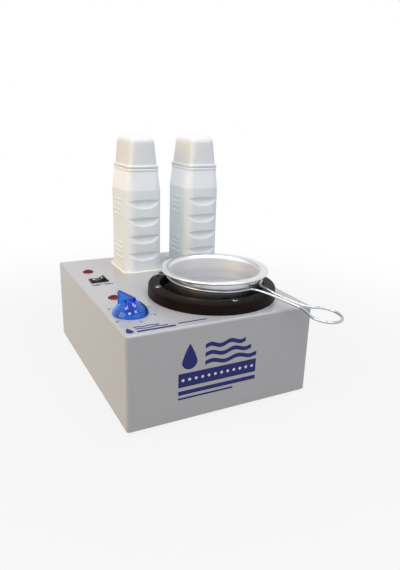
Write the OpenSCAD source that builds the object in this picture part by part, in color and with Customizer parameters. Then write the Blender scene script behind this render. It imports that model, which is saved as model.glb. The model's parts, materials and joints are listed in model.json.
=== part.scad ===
// Tabletop heater for roll-on depilatory wax: a folded steel case with two docked
// handpieces, a heated well with a lift-out pot, and a panel of controls.
// X runs left to right along the front, Y front to back, Z up from the table.

/* [Case] */
// Width of the case, left to right
case_w = 210; // [200:1:240]
// Depth of the case, front to back
case_d = 265; // [255:1:300]
// Height of the folded cover
case_h = 100; // [96:1:130]
// Thickness of the cover's steel
sheet_t = 1.2; // [0.8:0.1:2]
// Outside radius of the cover's folds
fold_r = 2.5; // [2.2:0.1:6]
// Width of the lip folded in under the cover
lip_w = 12; // [10:0.5:16]
// Thickness of the base plate
base_t = 1; // [0.8:0.1:2]
// How far the base plate stays inside the cover's edge
base_inset = 1; // [0.5:0.5:3]

/* [Feet and vents] */
// Height of the rubber feet
foot_h = 4; // [3.6:0.2:12]
// Radius of the rubber feet
foot_r = 8; // [6:0.5:10]
// Distance of each foot's centre from the case's edges
foot_inset = 24; // [22:1:40]
// Number of vent slots in each row of the base plate
vent_count = 7; // [3:1:9]
// Length of a vent slot
vent_len = 30; // [15:1:40]
// Width of a vent slot
vent_w = 3; // [2:0.5:5]
// Distance between vent slots
vent_pitch = 10; // [8:1:14]

/* [Heated well] */
// Place of the well's centre, left to right
well_x = 24.5; // [15:0.5:27]
// Distance of the well's centre from the front edge
well_front = 79; // [76.5:0.5:88]
// Room between the pot and the well's wall
pot_room = 5; // [3:0.5:6]
// Wall thickness of the well
well_wall = 1.5; // [1:0.1:2]
// Depth of the well below the panel
well_depth = 62; // [50:1:64]
// Thickness of the well's bottom
well_floor_t = 4; // [3.5:0.5:6]
// How far the well's flange reaches past the ring's screws
flange_lap = 5.4; // [4.5:0.2:7]
// Thickness of the well's flange
well_flange_t = 1.5; // [1:0.1:2.5]

/* [Well ring] */
// How far the black ring reaches past the well's flange
ring_lap = 3.8; // [3:0.2:6]
// Height of the ring
ring_h = 12.5; // [10:0.5:16]
// Radius of the ring's rounded outer edge
ring_edge_r = 2.5; // [1:0.5:4]
// Width of the slope that leads down into the well
ring_bevel_w = 1.9; // [1:0.1:2.2]
// Height of that slope
ring_bevel_h = 6; // [3:0.5:7]
// Distance of the ring's screws from the well's wall
ring_screw_out = 5.1; // [4.8:0.1:6]
// Direction of the first ring screw
ring_screw_az = 174; // [165:1:180]

/* [Pot] */
// How far the loose pot stands right of the well's centre
pot_off_x = 2.2; // [0:0.2:2.4]
// How far the loose pot stands in front of the well's centre
pot_off_y = 1.2; // [0:0.2:2]
// Outside radius of the pot's body
pot_r = 51; // [47:0.5:55]
// Wall thickness of the pot
pot_wall = 1.2; // [0.8:0.1:2]
// Height of the pot's flat rim above the panel
pot_rim_up = 30.5; // [28:0.5:36]
// How far the pot's rim stands out
pot_rim_out = 9; // [7:0.5:11]
// Radius of the bead rolled round the rim
pot_bead_r = 1.5; // [1.2:0.1:2]
// Radius of the pot's bottom edge
pot_foot_r = 6; // [3:0.5:10]

/* [Pot handle] */
// Diameter of the handle's wire
wire_d = 3; // [2.5:0.1:3.5]
// Direction in which the handle points
handle_az = -61; // [-70:1:-50]
// Height of the clip's centre above the panel
clip_up = 20.2; // [20:0.1:22]
// Drop of the clip for each millimetre towards the handle
clip_tilt = 0.045; // [0.03:0.001:0.05]
// Half of the angle that the clip leaves open
clip_open = 36; // [28:1:44]
// How far the clip's bent-out ends reach past the clip
clip_reach = 14.2; // [11:0.2:19]
// Half of the distance between the arms where they leave the pot
arm_root_gap = 8; // [6:0.5:10]
// Half of the distance between the arms along the grip
arm_gap = 2.9; // [2.4:0.1:4]
// Length of the arms, from the clip to the loop
arm_len = 55.7; // [51:0.1:67]
// Drop of the arms for each millimetre of their length
arm_drop = 0.185; // [0.15:0.005:0.19]
// Radius of the finger loop
loop_r = 17.3; // [12:0.1:20]
// Drop of the loop for each millimetre of its length
loop_drop = 0.11; // [0.05:0.01:0.15]

/* [Handpieces] */
// Place of the left handpiece, left to right
hand_left_x = -16; // [-18:0.5:-14]
// Distance between the two handpieces
hand_pitch = 80; // [76:1:86]
// Place of both handpieces, front to back
hand_y = 79; // [76:1:84]
// Width of a handpiece
hand_w = 48; // [47:0.5:50]
// Depth of a handpiece
hand_d = 62; // [61:0.5:66]
// Corner radius of a handpiece
hand_r = 12; // [8:0.5:14]
// Height of the grip above the panel
grip_up = 102; // [98:1:115]
// Height of the tapered shoulder
shoulder_h = 23; // [18:1:30]
// Width of the housing at the top of the shoulder
neck_w = 38.6; // [38.4:0.2:40]
// Depth of the housing at the top of the shoulder
neck_d = 58.6; // [57:0.2:60]
// Corner radius at the top of the shoulder
neck_r = 5.5; // [5:0.5:7]
// Height of the rim above the shoulder
rim_h = 3; // [2:0.5:5]
// How far the rim stands out of the shoulder
rim_out = 0.8; // [0.5:0.1:1.5]
// Depth of the finger grooves
groove_depth = 3; // [1.5:0.1:3.4]
// Height of a finger groove
groove_h = 11; // [8:0.5:13]
// Distance between finger grooves
groove_pitch = 21.7; // [18:0.1:24]
// Number of finger grooves
groove_count = 4; // [2:1:4]
// Height of the lowest groove's upper edge above the panel
groove_up = 26.2; // [20:0.1:28]
// Half width of a finger groove
groove_half_w = 22; // [14:0.5:24]
// Height of a side rib
rib_h = 2.2; // [1.5:0.1:3]
// How far a side rib stands out
rib_out = 0.6; // [0.3:0.1:1]
// Length of a side rib
rib_len = 26; // [16:1:30]
// Distance between side ribs
rib_pitch = 6.4; // [5:0.1:7.5]
// Number of ribs in each group
rib_count = 4; // [2:1:5]
// Height of the lowest rib of the lower group
rib_low_up = 16; // [12:1:20]
// Height of the lowest rib of the upper group
rib_high_up = 70; // [60:1:74]

/* [Caps] */
// Height of a cap above its flange
cap_h = 34; // [30:0.5:44]
// Thickness of a cap's flange
cap_flange_t = 3; // [2:0.5:4]
// Width of a cap at the bottom
cap_w = 36; // [35.5:0.1:37]
// Depth of a cap at the bottom
cap_d = 57; // [56:0.1:58]
// Wall thickness of a cap
cap_wall = 1.2; // [0.8:0.1:1.4]
// How much narrower a cap is at the top
cap_taper = 2.4; // [1:0.1:4]
// Radius of a cap's rounded top
cap_top_r = 9; // [6:0.5:10]

/* [Cartridges and rollers] */
// Width of the cartridge
cart_w = 34.6; // [32:0.2:34.8]
// Depth of the cartridge
cart_d = 51; // [48:0.5:51.4]
// Corner radius of the cartridge
cart_r = 5; // [4:0.5:8]
// Wall thickness of the cartridge
cart_wall = 1.2; // [0.8:0.1:2]
// Radius of the roller
roller_r = 11.5; // [9:0.5:12]
// Length of the roller
roller_len = 40; // [34:0.5:42]
// Radius of the roller's pins
roller_pin_r = 2; // [1.5:0.1:2.5]
// Width of the plastic frame round the roller
head_w = 29; // [27:0.5:30]
// Depth of the plastic frame round the roller
head_d = 48; // [47:0.5:50]

/* [Docks] */
// How far a dock's lip stands out past the handpiece
dock_lip = 4.3; // [3.5:0.1:6]
// Height of a dock's lip above the panel
dock_lip_h = 2.6; // [2:0.2:4]
// Radius of the lip's rounded edge
dock_edge_r = 1.2; // [0.6:0.1:1.5]
// Wall thickness of a dock's cup
dock_wall = 1.8; // [1.4:0.1:2.5]
// Depth of a dock's cup below the panel
dock_depth = 20; // [16:1:26]
// Thickness of the floor of a dock
dock_floor_t = 3; // [2:0.5:4]
// Thickness of the base that closes a handpiece
hand_base_t = 4; // [3:0.5:6]
// Radius of a contact pin
contact_r = 2; // [1.5:0.1:2.2]
// Distance between a dock's contact pins
contact_pitch = 22; // [16:1:30]
// Height of a contact pin above the dock's floor
contact_up = 7; // [5:0.5:8]

/* [Controls] */
// Distance of the knob from the left edge
knob_side = 24; // [22:0.5:29]
// Distance of the knob from the front edge
knob_front = 53.5; // [48:0.5:58]
// Radius of the knob
knob_r = 18.3; // [17.5:0.1:19]
// Height of the knob's dome
knob_h = 14.5; // [12:0.5:17]
// Wall thickness of the knob
knob_wall = 2.2; // [1.8:0.1:3]
// Thickness of the knob's pointer
fin_t = 5; // [3:0.5:6]
// How far the pointer stops short of the knob's edge
fin_short = 4.7; // [4:0.1:6]
// Height of the pointer above the knob's dome
fin_up = 7; // [5:0.5:10]
// Direction of the pointer
fin_az = 130; // [120:1:140]
// Distance of the switch from the left edge
switch_side = 25; // [23:0.5:29]
// Place of the switch, front to back
switch_y = 35.5; // [32:0.5:40]
// Length of the switch's frame
switch_l = 21; // [20:0.5:24]
// Width of the switch's frame
switch_w = 15; // [14:0.5:18]
// Angle of the rocker from the middle
rocker_tilt = 9; // [6:0.5:11]
// Distance of the lamps from the left edge
lamp_side = 23; // [21:0.5:27]
// Distance of the rear lamp from the rear edge
lamp_rear = 57.5; // [52:0.5:62]
// Place of the front lamp, front to back
lamp_front_y = -28.6; // [-32:0.2:-24]
// Radius of a lamp's lens
lamp_r = 6.5; // [5.5:0.1:7.5]
// Height of a lamp's lens
lamp_h = 3; // [2:0.2:5]

/* [Mains inlet] */
// Distance of the inlet from the left edge
inlet_side = 45; // [39:1:55]
// Height of the inlet's centre above the table
inlet_up = 40; // [30:1:60]
// Distance between the inlet's screws
inlet_pitch = 40; // [36:0.5:42]

/* [Hidden] */
$fn = 96;
hull_fn = 32;               // circles inside a hull
eps = 0.01;                 // overshoot of a cut
far = 400;                  // longer than anything in the part

// clearances
seat_gap = 0.3;             // between pieces that lift off and their seats
run_gap = 0.08;             // round a turning pin or shaft, in radius
slip_gap = 0.5;             // round a piece that slides in its guide
screw_gap = 0.2;            // round a screw in a clearance hole, in radius
thread_gap = 0.04;          // round a screw in its thread, in radius
cut_gap = 0.3;              // round a body in a panel's cut-out
wire_gap = 0.3;             // between the clip and the pot

// levels above the table
base_z = foot_h;
cover_z = base_z + base_t;
panel_z = cover_z + case_h;
under_z = panel_z - sheet_t;
inner_fold_r = max(fold_r - sheet_t, 0.3);

// fasteners: shank radius, head radius, head height
m3_r = 1.5;
m3_head_r = 2.8;
m3_head_h = 1.8;
m3_nut_r = 3.1;
m3_nut_h = 2.4;
m4_r = 2;
m4_head_r = 3.6;
m4_head_h = 2.2;
m4_nut_r = 4;
m4_nut_h = 3.2;
slot_w = 0.8;
slot_deep = 0.8;

// well, ring and what is round them, from the pot outwards
well_y = well_front - case_d / 2;
well_r = pot_r + pot_room;
well_out_r = well_r + well_wall;
ring_screw_pcr = well_out_r + ring_screw_out;
well_flange_r = ring_screw_pcr + flange_lap;
ring_r = well_flange_r + ring_lap;
well_hole_r = well_out_r + cut_gap;
pocket_r = well_flange_r + cut_gap;
pocket_h = well_flange_t + 0.1;
ring_in_r = well_r + 0.6;
ring_bevel_r = ring_in_r + ring_bevel_w;
ring_draft = 0.4;
ring_head_deep = 1.4;
ring_screw_count = 4;
well_floor_z = panel_z - well_depth;
well_bottom_z = well_floor_z - well_floor_t;
band_t = 3;
band_h = 34;
band_z = well_floor_z + 8;
band_out_r = well_out_r + 0.1 + band_t;
band_az = 215;
band_split = 8;
ear_l = 11;
ear_t = 2.5;
ear_h = 14;
jacket_t = 6;
jacket_gap = 0.4;
jacket_margin = 4;
jacket_slit = band_split + 2 * ear_t + 2 * m4_head_h + 2 * m4_nut_h + 4;

// pot and handle
pot_x = well_x + pot_off_x;
pot_y = well_y - pot_off_y;
pot_floor_z = well_floor_z + seat_gap;
pot_rim_z = panel_z + pot_rim_up;
pot_rim_r = pot_r + pot_rim_out;
pot_flare = 3;
pot_mouth_r = pot_flare + pot_wall;
clip_r = pot_r + wire_d / 2 + wire_gap;
clip_end = clip_r + clip_reach;
arm_end = clip_r + arm_len;
wire_sides = 10;
wire_round = 8;             // sides of a wire or a capillary inside the case
clip_step = 7;
bend_steps = 5;
arm_steps = 3;
loop_steps = 22;

// handpieces
hand_right_x = hand_left_x + hand_pitch;
dock_floor_z = panel_z - dock_depth + dock_floor_t;
hand_z = dock_floor_z + seat_gap;
housing_z = hand_z + hand_base_t;
grip_z = panel_z + grip_up;
shoulder_z = grip_z + shoulder_h;
rim_z = shoulder_z + rim_h;
cap_z = rim_z + seat_gap;
cap_body_z = cap_z + cap_flange_t;
cap_top_z = cap_body_z + cap_h;
rim_w = neck_w + 2 * rim_out;
rim_d = neck_d + 2 * rim_out;
rim_r = neck_r + rim_out;
bore_w = cart_w + 2 * slip_gap;
bore_d = cart_d + 2 * slip_gap;
bore_r = cart_r + slip_gap;
plug_deep = 4;
plug_gap = 0.1;
heater_w = 38;
heater_t = 2;
heater_z = housing_z + plug_deep + 6;
heater_h = grip_up - 14;
cart_z = housing_z + plug_deep + seat_gap;
cart_top_z = shoulder_z - 4;
head_plug_deep = 5;
head_flange_t = 1.5;
roller_z = cart_top_z + head_flange_t + roller_r + 6;
ear_top_z = roller_z + 5;
head_slot = 0.4;
head_inset = 3;
cap_r = 5;
skirt_gap = 0.35;
skirt_h = 4;
skirt_w = bore_w - 2 * skirt_gap;
skirt_d = bore_d - 2 * skirt_gap;

// controls
knob_x = knob_side - case_w / 2;
knob_y = knob_front - case_d / 2;
switch_x = switch_side - case_w / 2;
lamp_x = lamp_side - case_w / 2;
lamp_rear_y = case_d / 2 - lamp_rear;
shaft_r = 3;
shaft_flat = 2;
shaft_hole_r = 5;
knob_lift = 0.6;
boss_r = 5.4;
shaft_top = 11;
shaft_deep = 12;
fin_reach = knob_r - fin_short;
fin_h = knob_h + fin_up;
fin_back = 5;
fin_foot_z = 6.2;
stat_w = 36;
stat_d = 32;
stat_h = 20;
stat_plate_w = 34;
stat_plate_t = 1.5;
stat_neck_r = 9;
stat_neck_h = 3;
stat_screw_x = 11;
stat_screw_len = sheet_t + 4;
stat_nipple_r = 3;
stat_nipple_h = 2;
stat_nipple_y = 6 - stat_d / 2;
switch_cut_l = switch_l - 2;
switch_cut_w = switch_w - 2.2;
switch_frame_h = 1.6;
switch_deep = 20;
switch_wall = 0.8;
pivot_r = 1.2;
pivot_up = -2;
rocker_l = switch_cut_l - 2 * switch_wall - 2;
rocker_w = switch_cut_w - 2 * switch_wall - 0.6;
rocker_end_up = 6.2;
rocker_mid_up = 4.2;
rocker_deep = 5;
tab_t = 0.8;
tab_h = 8;
lamp_body_r = 4.9;
lamp_deep = 24;
lamp_flange_h = 1;
lamp_dome_r = lamp_r - 0.8;
lamp_dome_h = lamp_h - lamp_flange_h;
lamp_ball_r = (lamp_dome_r * lamp_dome_r + lamp_dome_h * lamp_dome_h) / (2 * lamp_dome_h);
clip_t = 0.8;

// mains inlet
inlet_x = inlet_side - case_w / 2;
inlet_y = case_d / 2;
inlet_w = 27;
inlet_h = 20;
inlet_deep = 24;
inlet_ear_w = 50;
inlet_ear_h = 22.5;
inlet_ear_t = 3;
inlet_socket_w = 24.4;
inlet_socket_h = 16.6;
inlet_socket_deep = 17;
pin_w = 2;
pin_h = 4;
pin_x = 7;
pin_drop = 1.8;
earth_pin_up = 2.2;

// shared shapes

module rounded_rect(w, d, r) {
    square([w - 2 * r, d], center = true);
    square([w, d - 2 * r], center = true);
    for (sx = [-1, 1], sy = [-1, 1])
        translate([sx * (w / 2 - r), sy * (d / 2 - r)]) circle(r);
}

module rounded_prism(w, d, h, r) linear_extrude(h) rounded_rect(w, d, r);

// a rectangle on the X axis with its two upper corners rounded
module arch(w, h, r) {
    translate([-w / 2, 0]) square([w, h - r]);
    translate([-w / 2 + r, 0]) square([w - 2 * r, h]);
    for (s = [-1, 1]) translate([s * (w / 2 - r), h - r]) circle(r);
}

// a box with rounded upright edges and rounded top edges
module folded_box(w, d, h, r) intersection() {
    rounded_prism(w, d, h, r);
    translate([0, d / 2, 0]) rotate([90, 0, 0]) linear_extrude(d) arch(w, h, r);
    translate([-w / 2, 0, 0]) rotate([90, 0, 90]) linear_extrude(w) arch(d, h, r);
}

// a pan-head screw, its head's seat at the origin and its shank running down
module pan_screw(r, len, head_r, head_h) difference() {
    union() {
        translate([0, 0, -len]) cylinder(r = r, h = len + head_h / 2);
        cylinder(r = head_r, h = head_h - 0.6);
        translate([0, 0, head_h - 0.6]) cylinder(r1 = head_r, r2 = head_r - 0.7, h = 0.6);
    }
    translate([0, 0, head_h - slot_deep / 2 + eps])
        cube([2 * head_r - 1.2, slot_w, slot_deep], center = true);
}

module hex_nut(r, bore_r, h) difference() {
    cylinder(r = r, h = h, $fn = 6);
    translate([0, 0, -eps]) cylinder(r = bore_r, h = h + 2 * eps);
}

module at_ring_screws() for (i = [0 : ring_screw_count - 1])
    translate([well_x, well_y, 0])
        rotate([0, 0, ring_screw_az + i * 360 / ring_screw_count])
            translate([ring_screw_pcr, 0, 0]) children();

module at_feet() for (sx = [-1, 1], sy = [-1, 1])
    translate([sx * (case_w / 2 - foot_inset), sy * (case_d / 2 - foot_inset), 0]) children();

// eight places along the middle of the cover's folded lip
lip_x = case_w / 2 - lip_w / 2 - 0.5;
lip_y = case_d / 2 - lip_w / 2 - 0.5;
module at_base_screws() {
    for (sx = [-1, 1], sy = [-1, 1]) {
        translate([sx * lip_x, sy * case_d / 4, 0]) children();
        translate([sx * case_w / 4, sy * lip_y, 0]) children();
    }
}

// tube along a list of points

function unit(v) = v / norm(v);
function flat(lists) = [for (l = lists) each l];
function heading(p, i) =
    i == 0 ? unit(p[1] - p[0]) :
    i == len(p) - 1 ? unit(p[i] - p[i - 1]) :
    unit(unit(p[i + 1] - p[i]) + unit(p[i] - p[i - 1]));
function first_side(t) = abs(t[2]) > 0.9 ? unit(cross(t, [0, 1, 0])) : unit(cross(t, [0, 0, 1]));
// a direction across the tube at each point, carried along it so that it never twists
function sides(p, i, a) =
    let (t = heading(p, i), b = unit(a - (a * t) * t))
    i == len(p) - 1 ? [b] : concat([b], sides(p, i + 1, b));
function tube_ring(c, t, a, r, n) =
    let (b = cross(t, a)) [for (k = [0 : n - 1]) c + r * (cos(k * 360 / n) * a + sin(k * 360 / n) * b)];
function bend(a, b, c, n) =
    [for (i = [0 : n]) let (u = i / n) (1 - u) * (1 - u) * a + 2 * u * (1 - u) * b + u * u * c];

module tube(p, r, n) {
    m = len(p);
    a = sides(p, 0, first_side(heading(p, 0)));
    rings = flat([for (i = [0 : m - 1]) tube_ring(p[i], heading(p, i), a[i], r, n)]);
    points = concat(rings, [p[0], p[m - 1]]);
    walls = flat([for (i = [0 : m - 2], k = [0 : n - 1])
        let (a = i * n + k, b = i * n + (k + 1) % n) [[a, a + n, b], [b, a + n, b + n]]]);
    ends = flat([for (k = [0 : n - 1])
        [[k, (k + 1) % n, m * n], [(m - 1) * n + (k + 1) % n, (m - 1) * n + k, m * n + 1]]]);
    polyhedron(points = points, faces = concat(walls, ends), convexity = 8);
}

// case

module dock_cutout(x) translate([x, hand_y, -eps])
    rounded_prism(dock_cup_w + 2 * cut_gap, dock_cup_d + 2 * cut_gap, far, dock_cup_r + cut_gap);

module panel_holes() {
    translate([well_x, well_y, 0]) cylinder(r = well_hole_r, h = far);
    at_ring_screws() cylinder(r = m4_r + screw_gap, h = far);
    dock_cutout(hand_left_x);
    dock_cutout(hand_right_x);
    translate([switch_x - switch_cut_l / 2 - cut_gap, switch_y - switch_cut_w / 2 - cut_gap, 0])
        cube([switch_cut_l + 2 * cut_gap, switch_cut_w + 2 * cut_gap, far]);
    for (y = [lamp_rear_y, lamp_front_y])
        translate([lamp_x, y, 0]) cylinder(r = lamp_body_r + cut_gap, h = far);
    translate([knob_x, knob_y, 0]) {
        cylinder(r = shaft_hole_r, h = far);
        for (s = [-1, 1]) translate([s * stat_screw_x, 0, 0]) cylinder(r = m3_r + screw_gap, h = far);
    }
}

module rear_holes() translate([inlet_x, inlet_y - 2 * sheet_t, inlet_up]) {
    translate([-inlet_w / 2 - cut_gap, 0, -inlet_h / 2 - cut_gap])
        cube([inlet_w + 2 * cut_gap, 4 * sheet_t, inlet_h + 2 * cut_gap]);
    for (s = [-1, 1]) translate([s * inlet_pitch / 2, 0, 0])
        rotate([-90, 0, 0]) cylinder(r = m3_r + screw_gap, h = 4 * sheet_t);
}

module case_cover() color("gainsboro") difference() {
    translate([0, 0, cover_z]) folded_box(case_w, case_d, case_h, fold_r);
    translate([0, 0, cover_z + sheet_t])
        folded_box(case_w - 2 * sheet_t, case_d - 2 * sheet_t, case_h - 2 * sheet_t, inner_fold_r);
    translate([0, 0, cover_z - eps])
        rounded_prism(case_w - 2 * lip_w, case_d - 2 * lip_w, 2 * sheet_t, inner_fold_r);
    translate([0, 0, under_z - sheet_t]) panel_holes();
    rear_holes();
    translate([0, 0, cover_z - eps]) at_base_screws() cylinder(r = m3_r + thread_gap, h = 2 * sheet_t);
}

vent_rows = [-case_d / 5, case_d / 5 + 10];
module base_plate() color("silver") difference() {
    translate([0, 0, base_z])
        rounded_prism(case_w - 2 * base_inset, case_d - 2 * base_inset, base_t, fold_r);
    translate([0, 0, base_z - eps]) {
        at_base_screws() cylinder(r = m3_r + screw_gap, h = far);
        at_feet() cylinder(r = m3_r + screw_gap, h = far);
        at_shield_rivets() cylinder(r = m3_r + thread_gap, h = far, center = true);
        for (y = vent_rows, i = [0 : vent_count - 1])
            translate([(i - (vent_count - 1) / 2) * vent_pitch + well_x / 2, y, 0])
                rounded_prism(vent_w, vent_len, far, vent_w / 2 - eps);
    }
}

base_screw_len = 7;
module base_screws() color("silver") translate([0, 0, base_z])
    at_base_screws() mirror([0, 0, 1]) pan_screw(m3_r, base_screw_len, m3_head_r, m3_head_h);

foot_recess_r = m3_head_r + 0.8;
foot_recess_h = m3_head_h + 0.4;
module rubber_feet() color([0.12, 0.12, 0.12]) at_feet() difference() {
    cylinder(r1 = foot_r - 0.8, r2 = foot_r, h = foot_h);
    translate([0, 0, -eps]) cylinder(r = foot_recess_r, h = foot_recess_h + eps);
    cylinder(r = m3_r + screw_gap, h = foot_h + eps);
}

foot_screw_len = foot_h - foot_recess_h + base_t + 5;
module foot_screws() color("silver") translate([0, 0, foot_recess_h])
    at_feet() mirror([0, 0, 1]) pan_screw(m3_r, foot_screw_len, m3_head_r, m3_head_h);

module foot_nuts() color("silver") translate([0, 0, cover_z])
    at_feet() hex_nut(m3_nut_r, m3_r + thread_gap, m3_nut_h);

// an upright steel plate that keeps the well's heat from the handpieces
shield_y = (well_y + well_out_r + hand_y - hand_d / 2) / 2 + 8;
shield_w = 130;
shield_x = 20;
shield_h = 62;
shield_foot = 12;
shield_rivet_x = 50;
module heat_shield() color("lightgray") difference() {
    translate([shield_x - shield_w / 2, shield_y, cover_z]) {
        cube([shield_w, sheet_t, shield_h]);
        cube([shield_w, shield_foot, sheet_t]);
    }
    at_shield_rivets() translate([0, 0, -eps]) cylinder(r = m3_r + thread_gap, h = far);
}
module at_shield_rivets() for (s = [-1, 1])
    translate([shield_x + s * shield_rivet_x, shield_y + shield_foot * 0.6, cover_z]) children();
module shield_rivets() color("silver") at_shield_rivets() {
    translate([0, 0, -base_t]) cylinder(r = m3_r, h = base_t + sheet_t + eps);
    translate([0, 0, sheet_t]) cylinder(r1 = m3_head_r, r2 = m3_head_r - 1, h = 1);
    translate([0, 0, -base_t - 1]) cylinder(r1 = m3_head_r - 1, r2 = m3_head_r, h = 1);
}

// heated well and its ring

module ring_profile() difference() {
    union() {
        polygon([
            [pocket_r, 0], [ring_r, 0], [ring_r - ring_draft, ring_h - ring_edge_r],
            [ring_r - ring_draft - ring_edge_r, ring_h], [ring_bevel_r, ring_h],
            [ring_in_r, ring_h - ring_bevel_h], [ring_in_r, pocket_h], [pocket_r, pocket_h]
        ]);
        translate([ring_r - ring_draft - ring_edge_r, ring_h - ring_edge_r]) circle(ring_edge_r);
    }
    translate([0, ring_h]) square([far, far]);
}

module well_ring() color([0.13, 0.12, 0.13]) difference() {
    translate([well_x, well_y, panel_z]) rotate_extrude() ring_profile();
    translate([0, 0, panel_z - eps]) at_ring_screws() {
        cylinder(r = m4_r + screw_gap, h = far);
        translate([0, 0, ring_h - ring_head_deep]) cylinder(r = m4_head_r + screw_gap, h = far);
    }
}

ring_screw_len = ring_h - ring_head_deep + sheet_t + 6;
module ring_screws() color("silver") translate([0, 0, panel_z + ring_h - ring_head_deep])
    at_ring_screws() pan_screw(m4_r, ring_screw_len, m4_head_r, m4_head_h);

module ring_nuts() color("silver") translate([0, 0, under_z - m4_nut_h])
    at_ring_screws() hex_nut(m4_nut_r, m4_r + thread_gap, m4_nut_h);

// the sensor's bulb lies in a tube welded under the well
bulb_r = 2.2;
bulb_len = 44;
bulb_tube_r = 4;
bulb_tube_len = 36;
bulb_x = well_x - bulb_len / 2;
bulb_y = well_y - 22;
bulb_z = well_bottom_z - bulb_tube_r + 0.8;

module heating_well() color("silver") difference() {
    union() {
        translate([well_x, well_y, 0]) rotate_extrude() polygon([
            [0, well_bottom_z], [well_out_r, well_bottom_z], [well_out_r, panel_z],
            [well_flange_r, panel_z], [well_flange_r, panel_z + well_flange_t],
            [well_r, panel_z + well_flange_t], [well_r, well_floor_z], [0, well_floor_z]
        ]);
        translate([well_x - bulb_tube_len / 2, bulb_y, bulb_z])
            rotate([0, 90, 0]) cylinder(r = bulb_tube_r, h = bulb_tube_len);
    }
    translate([0, 0, panel_z - eps]) at_ring_screws() cylinder(r = m4_r + screw_gap, h = 2 * well_flange_t);
    translate([bulb_x - far / 2, bulb_y, bulb_z]) rotate([0, 90, 0])
        cylinder(r = bulb_r + plug_gap, h = far);
    translate([0, 0, well_bottom_z - eps]) at_cutout_screws()
        cylinder(r = m3_r + thread_gap, h = cutout_screw_deep);
}

// a mica band heater with two ears drawn together by a bolt
module band_heater() color("tan") translate([well_x, well_y, band_z]) difference() {
    union() {
        cylinder(r = band_out_r, h = band_h);
        rotate([0, 0, band_az]) for (s = [-1, 1])
            translate([band_out_r - 1, s * (band_split + ear_t) / 2 - ear_t / 2, (band_h - ear_h) / 2])
                cube([ear_l, ear_t, ear_h]);
    }
    translate([0, 0, -eps]) cylinder(r = well_out_r + 0.1, h = band_h + 2 * eps);
    rotate([0, 0, band_az]) {
        translate([0, -band_split / 2, -eps]) cube([far, band_split, band_h + 2 * eps]);
        translate([band_out_r + ear_l / 2, 0, band_h / 2])
            rotate([90, 0, 0]) cylinder(r = m4_r + screw_gap, h = far, center = true);
    }
}

band_grip = band_split + 2 * ear_t;
module band_bolt() color("silver") translate([well_x, well_y, band_z])
    rotate([0, 0, band_az]) translate([band_out_r + ear_l / 2, 0, band_h / 2]) rotate([90, 0, 0]) {
        translate([0, 0, band_grip / 2]) pan_screw(m4_r, band_grip + m4_nut_h + 1, m4_head_r, m4_head_h);
        translate([0, 0, -band_grip / 2 - m4_nut_h]) hex_nut(m4_nut_r, m4_r + thread_gap, m4_nut_h);
    }

// a glass-fibre jacket round the band heater, slit where the ears stand
module well_insulation() color("ivory") translate([well_x, well_y, band_z - jacket_margin])
    difference() {
        cylinder(r = band_out_r + jacket_gap + jacket_t, h = band_h + 2 * jacket_margin);
        translate([0, 0, -eps]) cylinder(r = band_out_r + jacket_gap, h = far);
        rotate([0, 0, band_az]) translate([0, -jacket_slit / 2, -eps]) cube([far, jacket_slit, far]);
    }

// a round bimetal cut-out on a plate under the well
cutout_r = 8;
cutout_h = 9;
cutout_plate_w = 34;
cutout_plate_d = 12;
cutout_plate_t = 1;
cutout_screw_x = 13;
cutout_screw_deep = 3;
module at_cutout_screws() for (s = [-1, 1])
    translate([well_x + s * cutout_screw_x, well_y, 0]) children();
module thermal_cutout() color("dimgray") difference() {
    translate([well_x, well_y, well_bottom_z - cutout_plate_t]) {
        translate([-cutout_plate_w / 2, -cutout_plate_d / 2, 0])
            cube([cutout_plate_w, cutout_plate_d, cutout_plate_t]);
        translate([0, 0, -cutout_h]) cylinder(r = cutout_r, h = cutout_h + cutout_plate_t);
        for (s = [-1, 1]) translate([-tab_t / 2, s * cutout_r / 2 - 3, -cutout_h - tab_h])
            cube([tab_t, 6, tab_h + eps]);
    }
    translate([0, 0, well_bottom_z - 2 * cutout_plate_t]) at_cutout_screws()
        cylinder(r = m3_r + screw_gap, h = far);
}
module cutout_screws() color("silver") translate([0, 0, well_bottom_z - cutout_plate_t])
    at_cutout_screws() mirror([0, 0, 1])
        pan_screw(m3_r, cutout_plate_t + cutout_screw_deep - 0.5, m3_head_r, m3_head_h);

// pot and its wire handle

module pot_profile() difference() {
    union() {
        // body with a rounded bottom edge
        translate([0, pot_floor_z + pot_foot_r])
            square([pot_r, pot_rim_z - pot_floor_z - pot_foot_r]);
        translate([0, pot_floor_z]) square([pot_r - pot_foot_r, pot_foot_r + eps]);
        translate([pot_r - pot_foot_r, pot_floor_z + pot_foot_r]) circle(pot_foot_r);
        // flat rim, its fillet under it, and the rolled bead
        translate([0, pot_rim_z - pot_wall]) square([pot_rim_r - pot_bead_r, pot_wall]);
        difference() {
            translate([0, pot_rim_z - pot_wall - pot_flare]) square([pot_r + pot_flare, pot_flare]);
            translate([pot_r + pot_flare, pot_rim_z - pot_wall - pot_flare]) circle(pot_flare);
        }
        translate([pot_rim_r - pot_bead_r, pot_rim_z - pot_bead_r]) circle(pot_bead_r);
    }
    // hollow with a rounded bottom edge and a flared mouth
    translate([0, pot_floor_z + pot_foot_r]) square([pot_r - pot_wall, far]);
    translate([0, pot_floor_z + pot_wall]) square([pot_r - pot_foot_r, pot_foot_r]);
    translate([pot_r - pot_foot_r, pot_floor_z + pot_foot_r]) circle(pot_foot_r - pot_wall);
    difference() {
        translate([0, pot_rim_z - pot_mouth_r]) square([pot_r - pot_wall + pot_mouth_r, far]);
        translate([pot_r - pot_wall + pot_mouth_r, pot_rim_z - pot_mouth_r]) circle(pot_mouth_r);
        translate([pot_r - pot_wall + pot_mouth_r, 0]) square([far, far]);
    }
    translate([-far, 0]) square([far, far]);
}

module wax_pot() color("gainsboro") translate([pot_x, pot_y, 0]) rotate_extrude() pot_profile();

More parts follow.
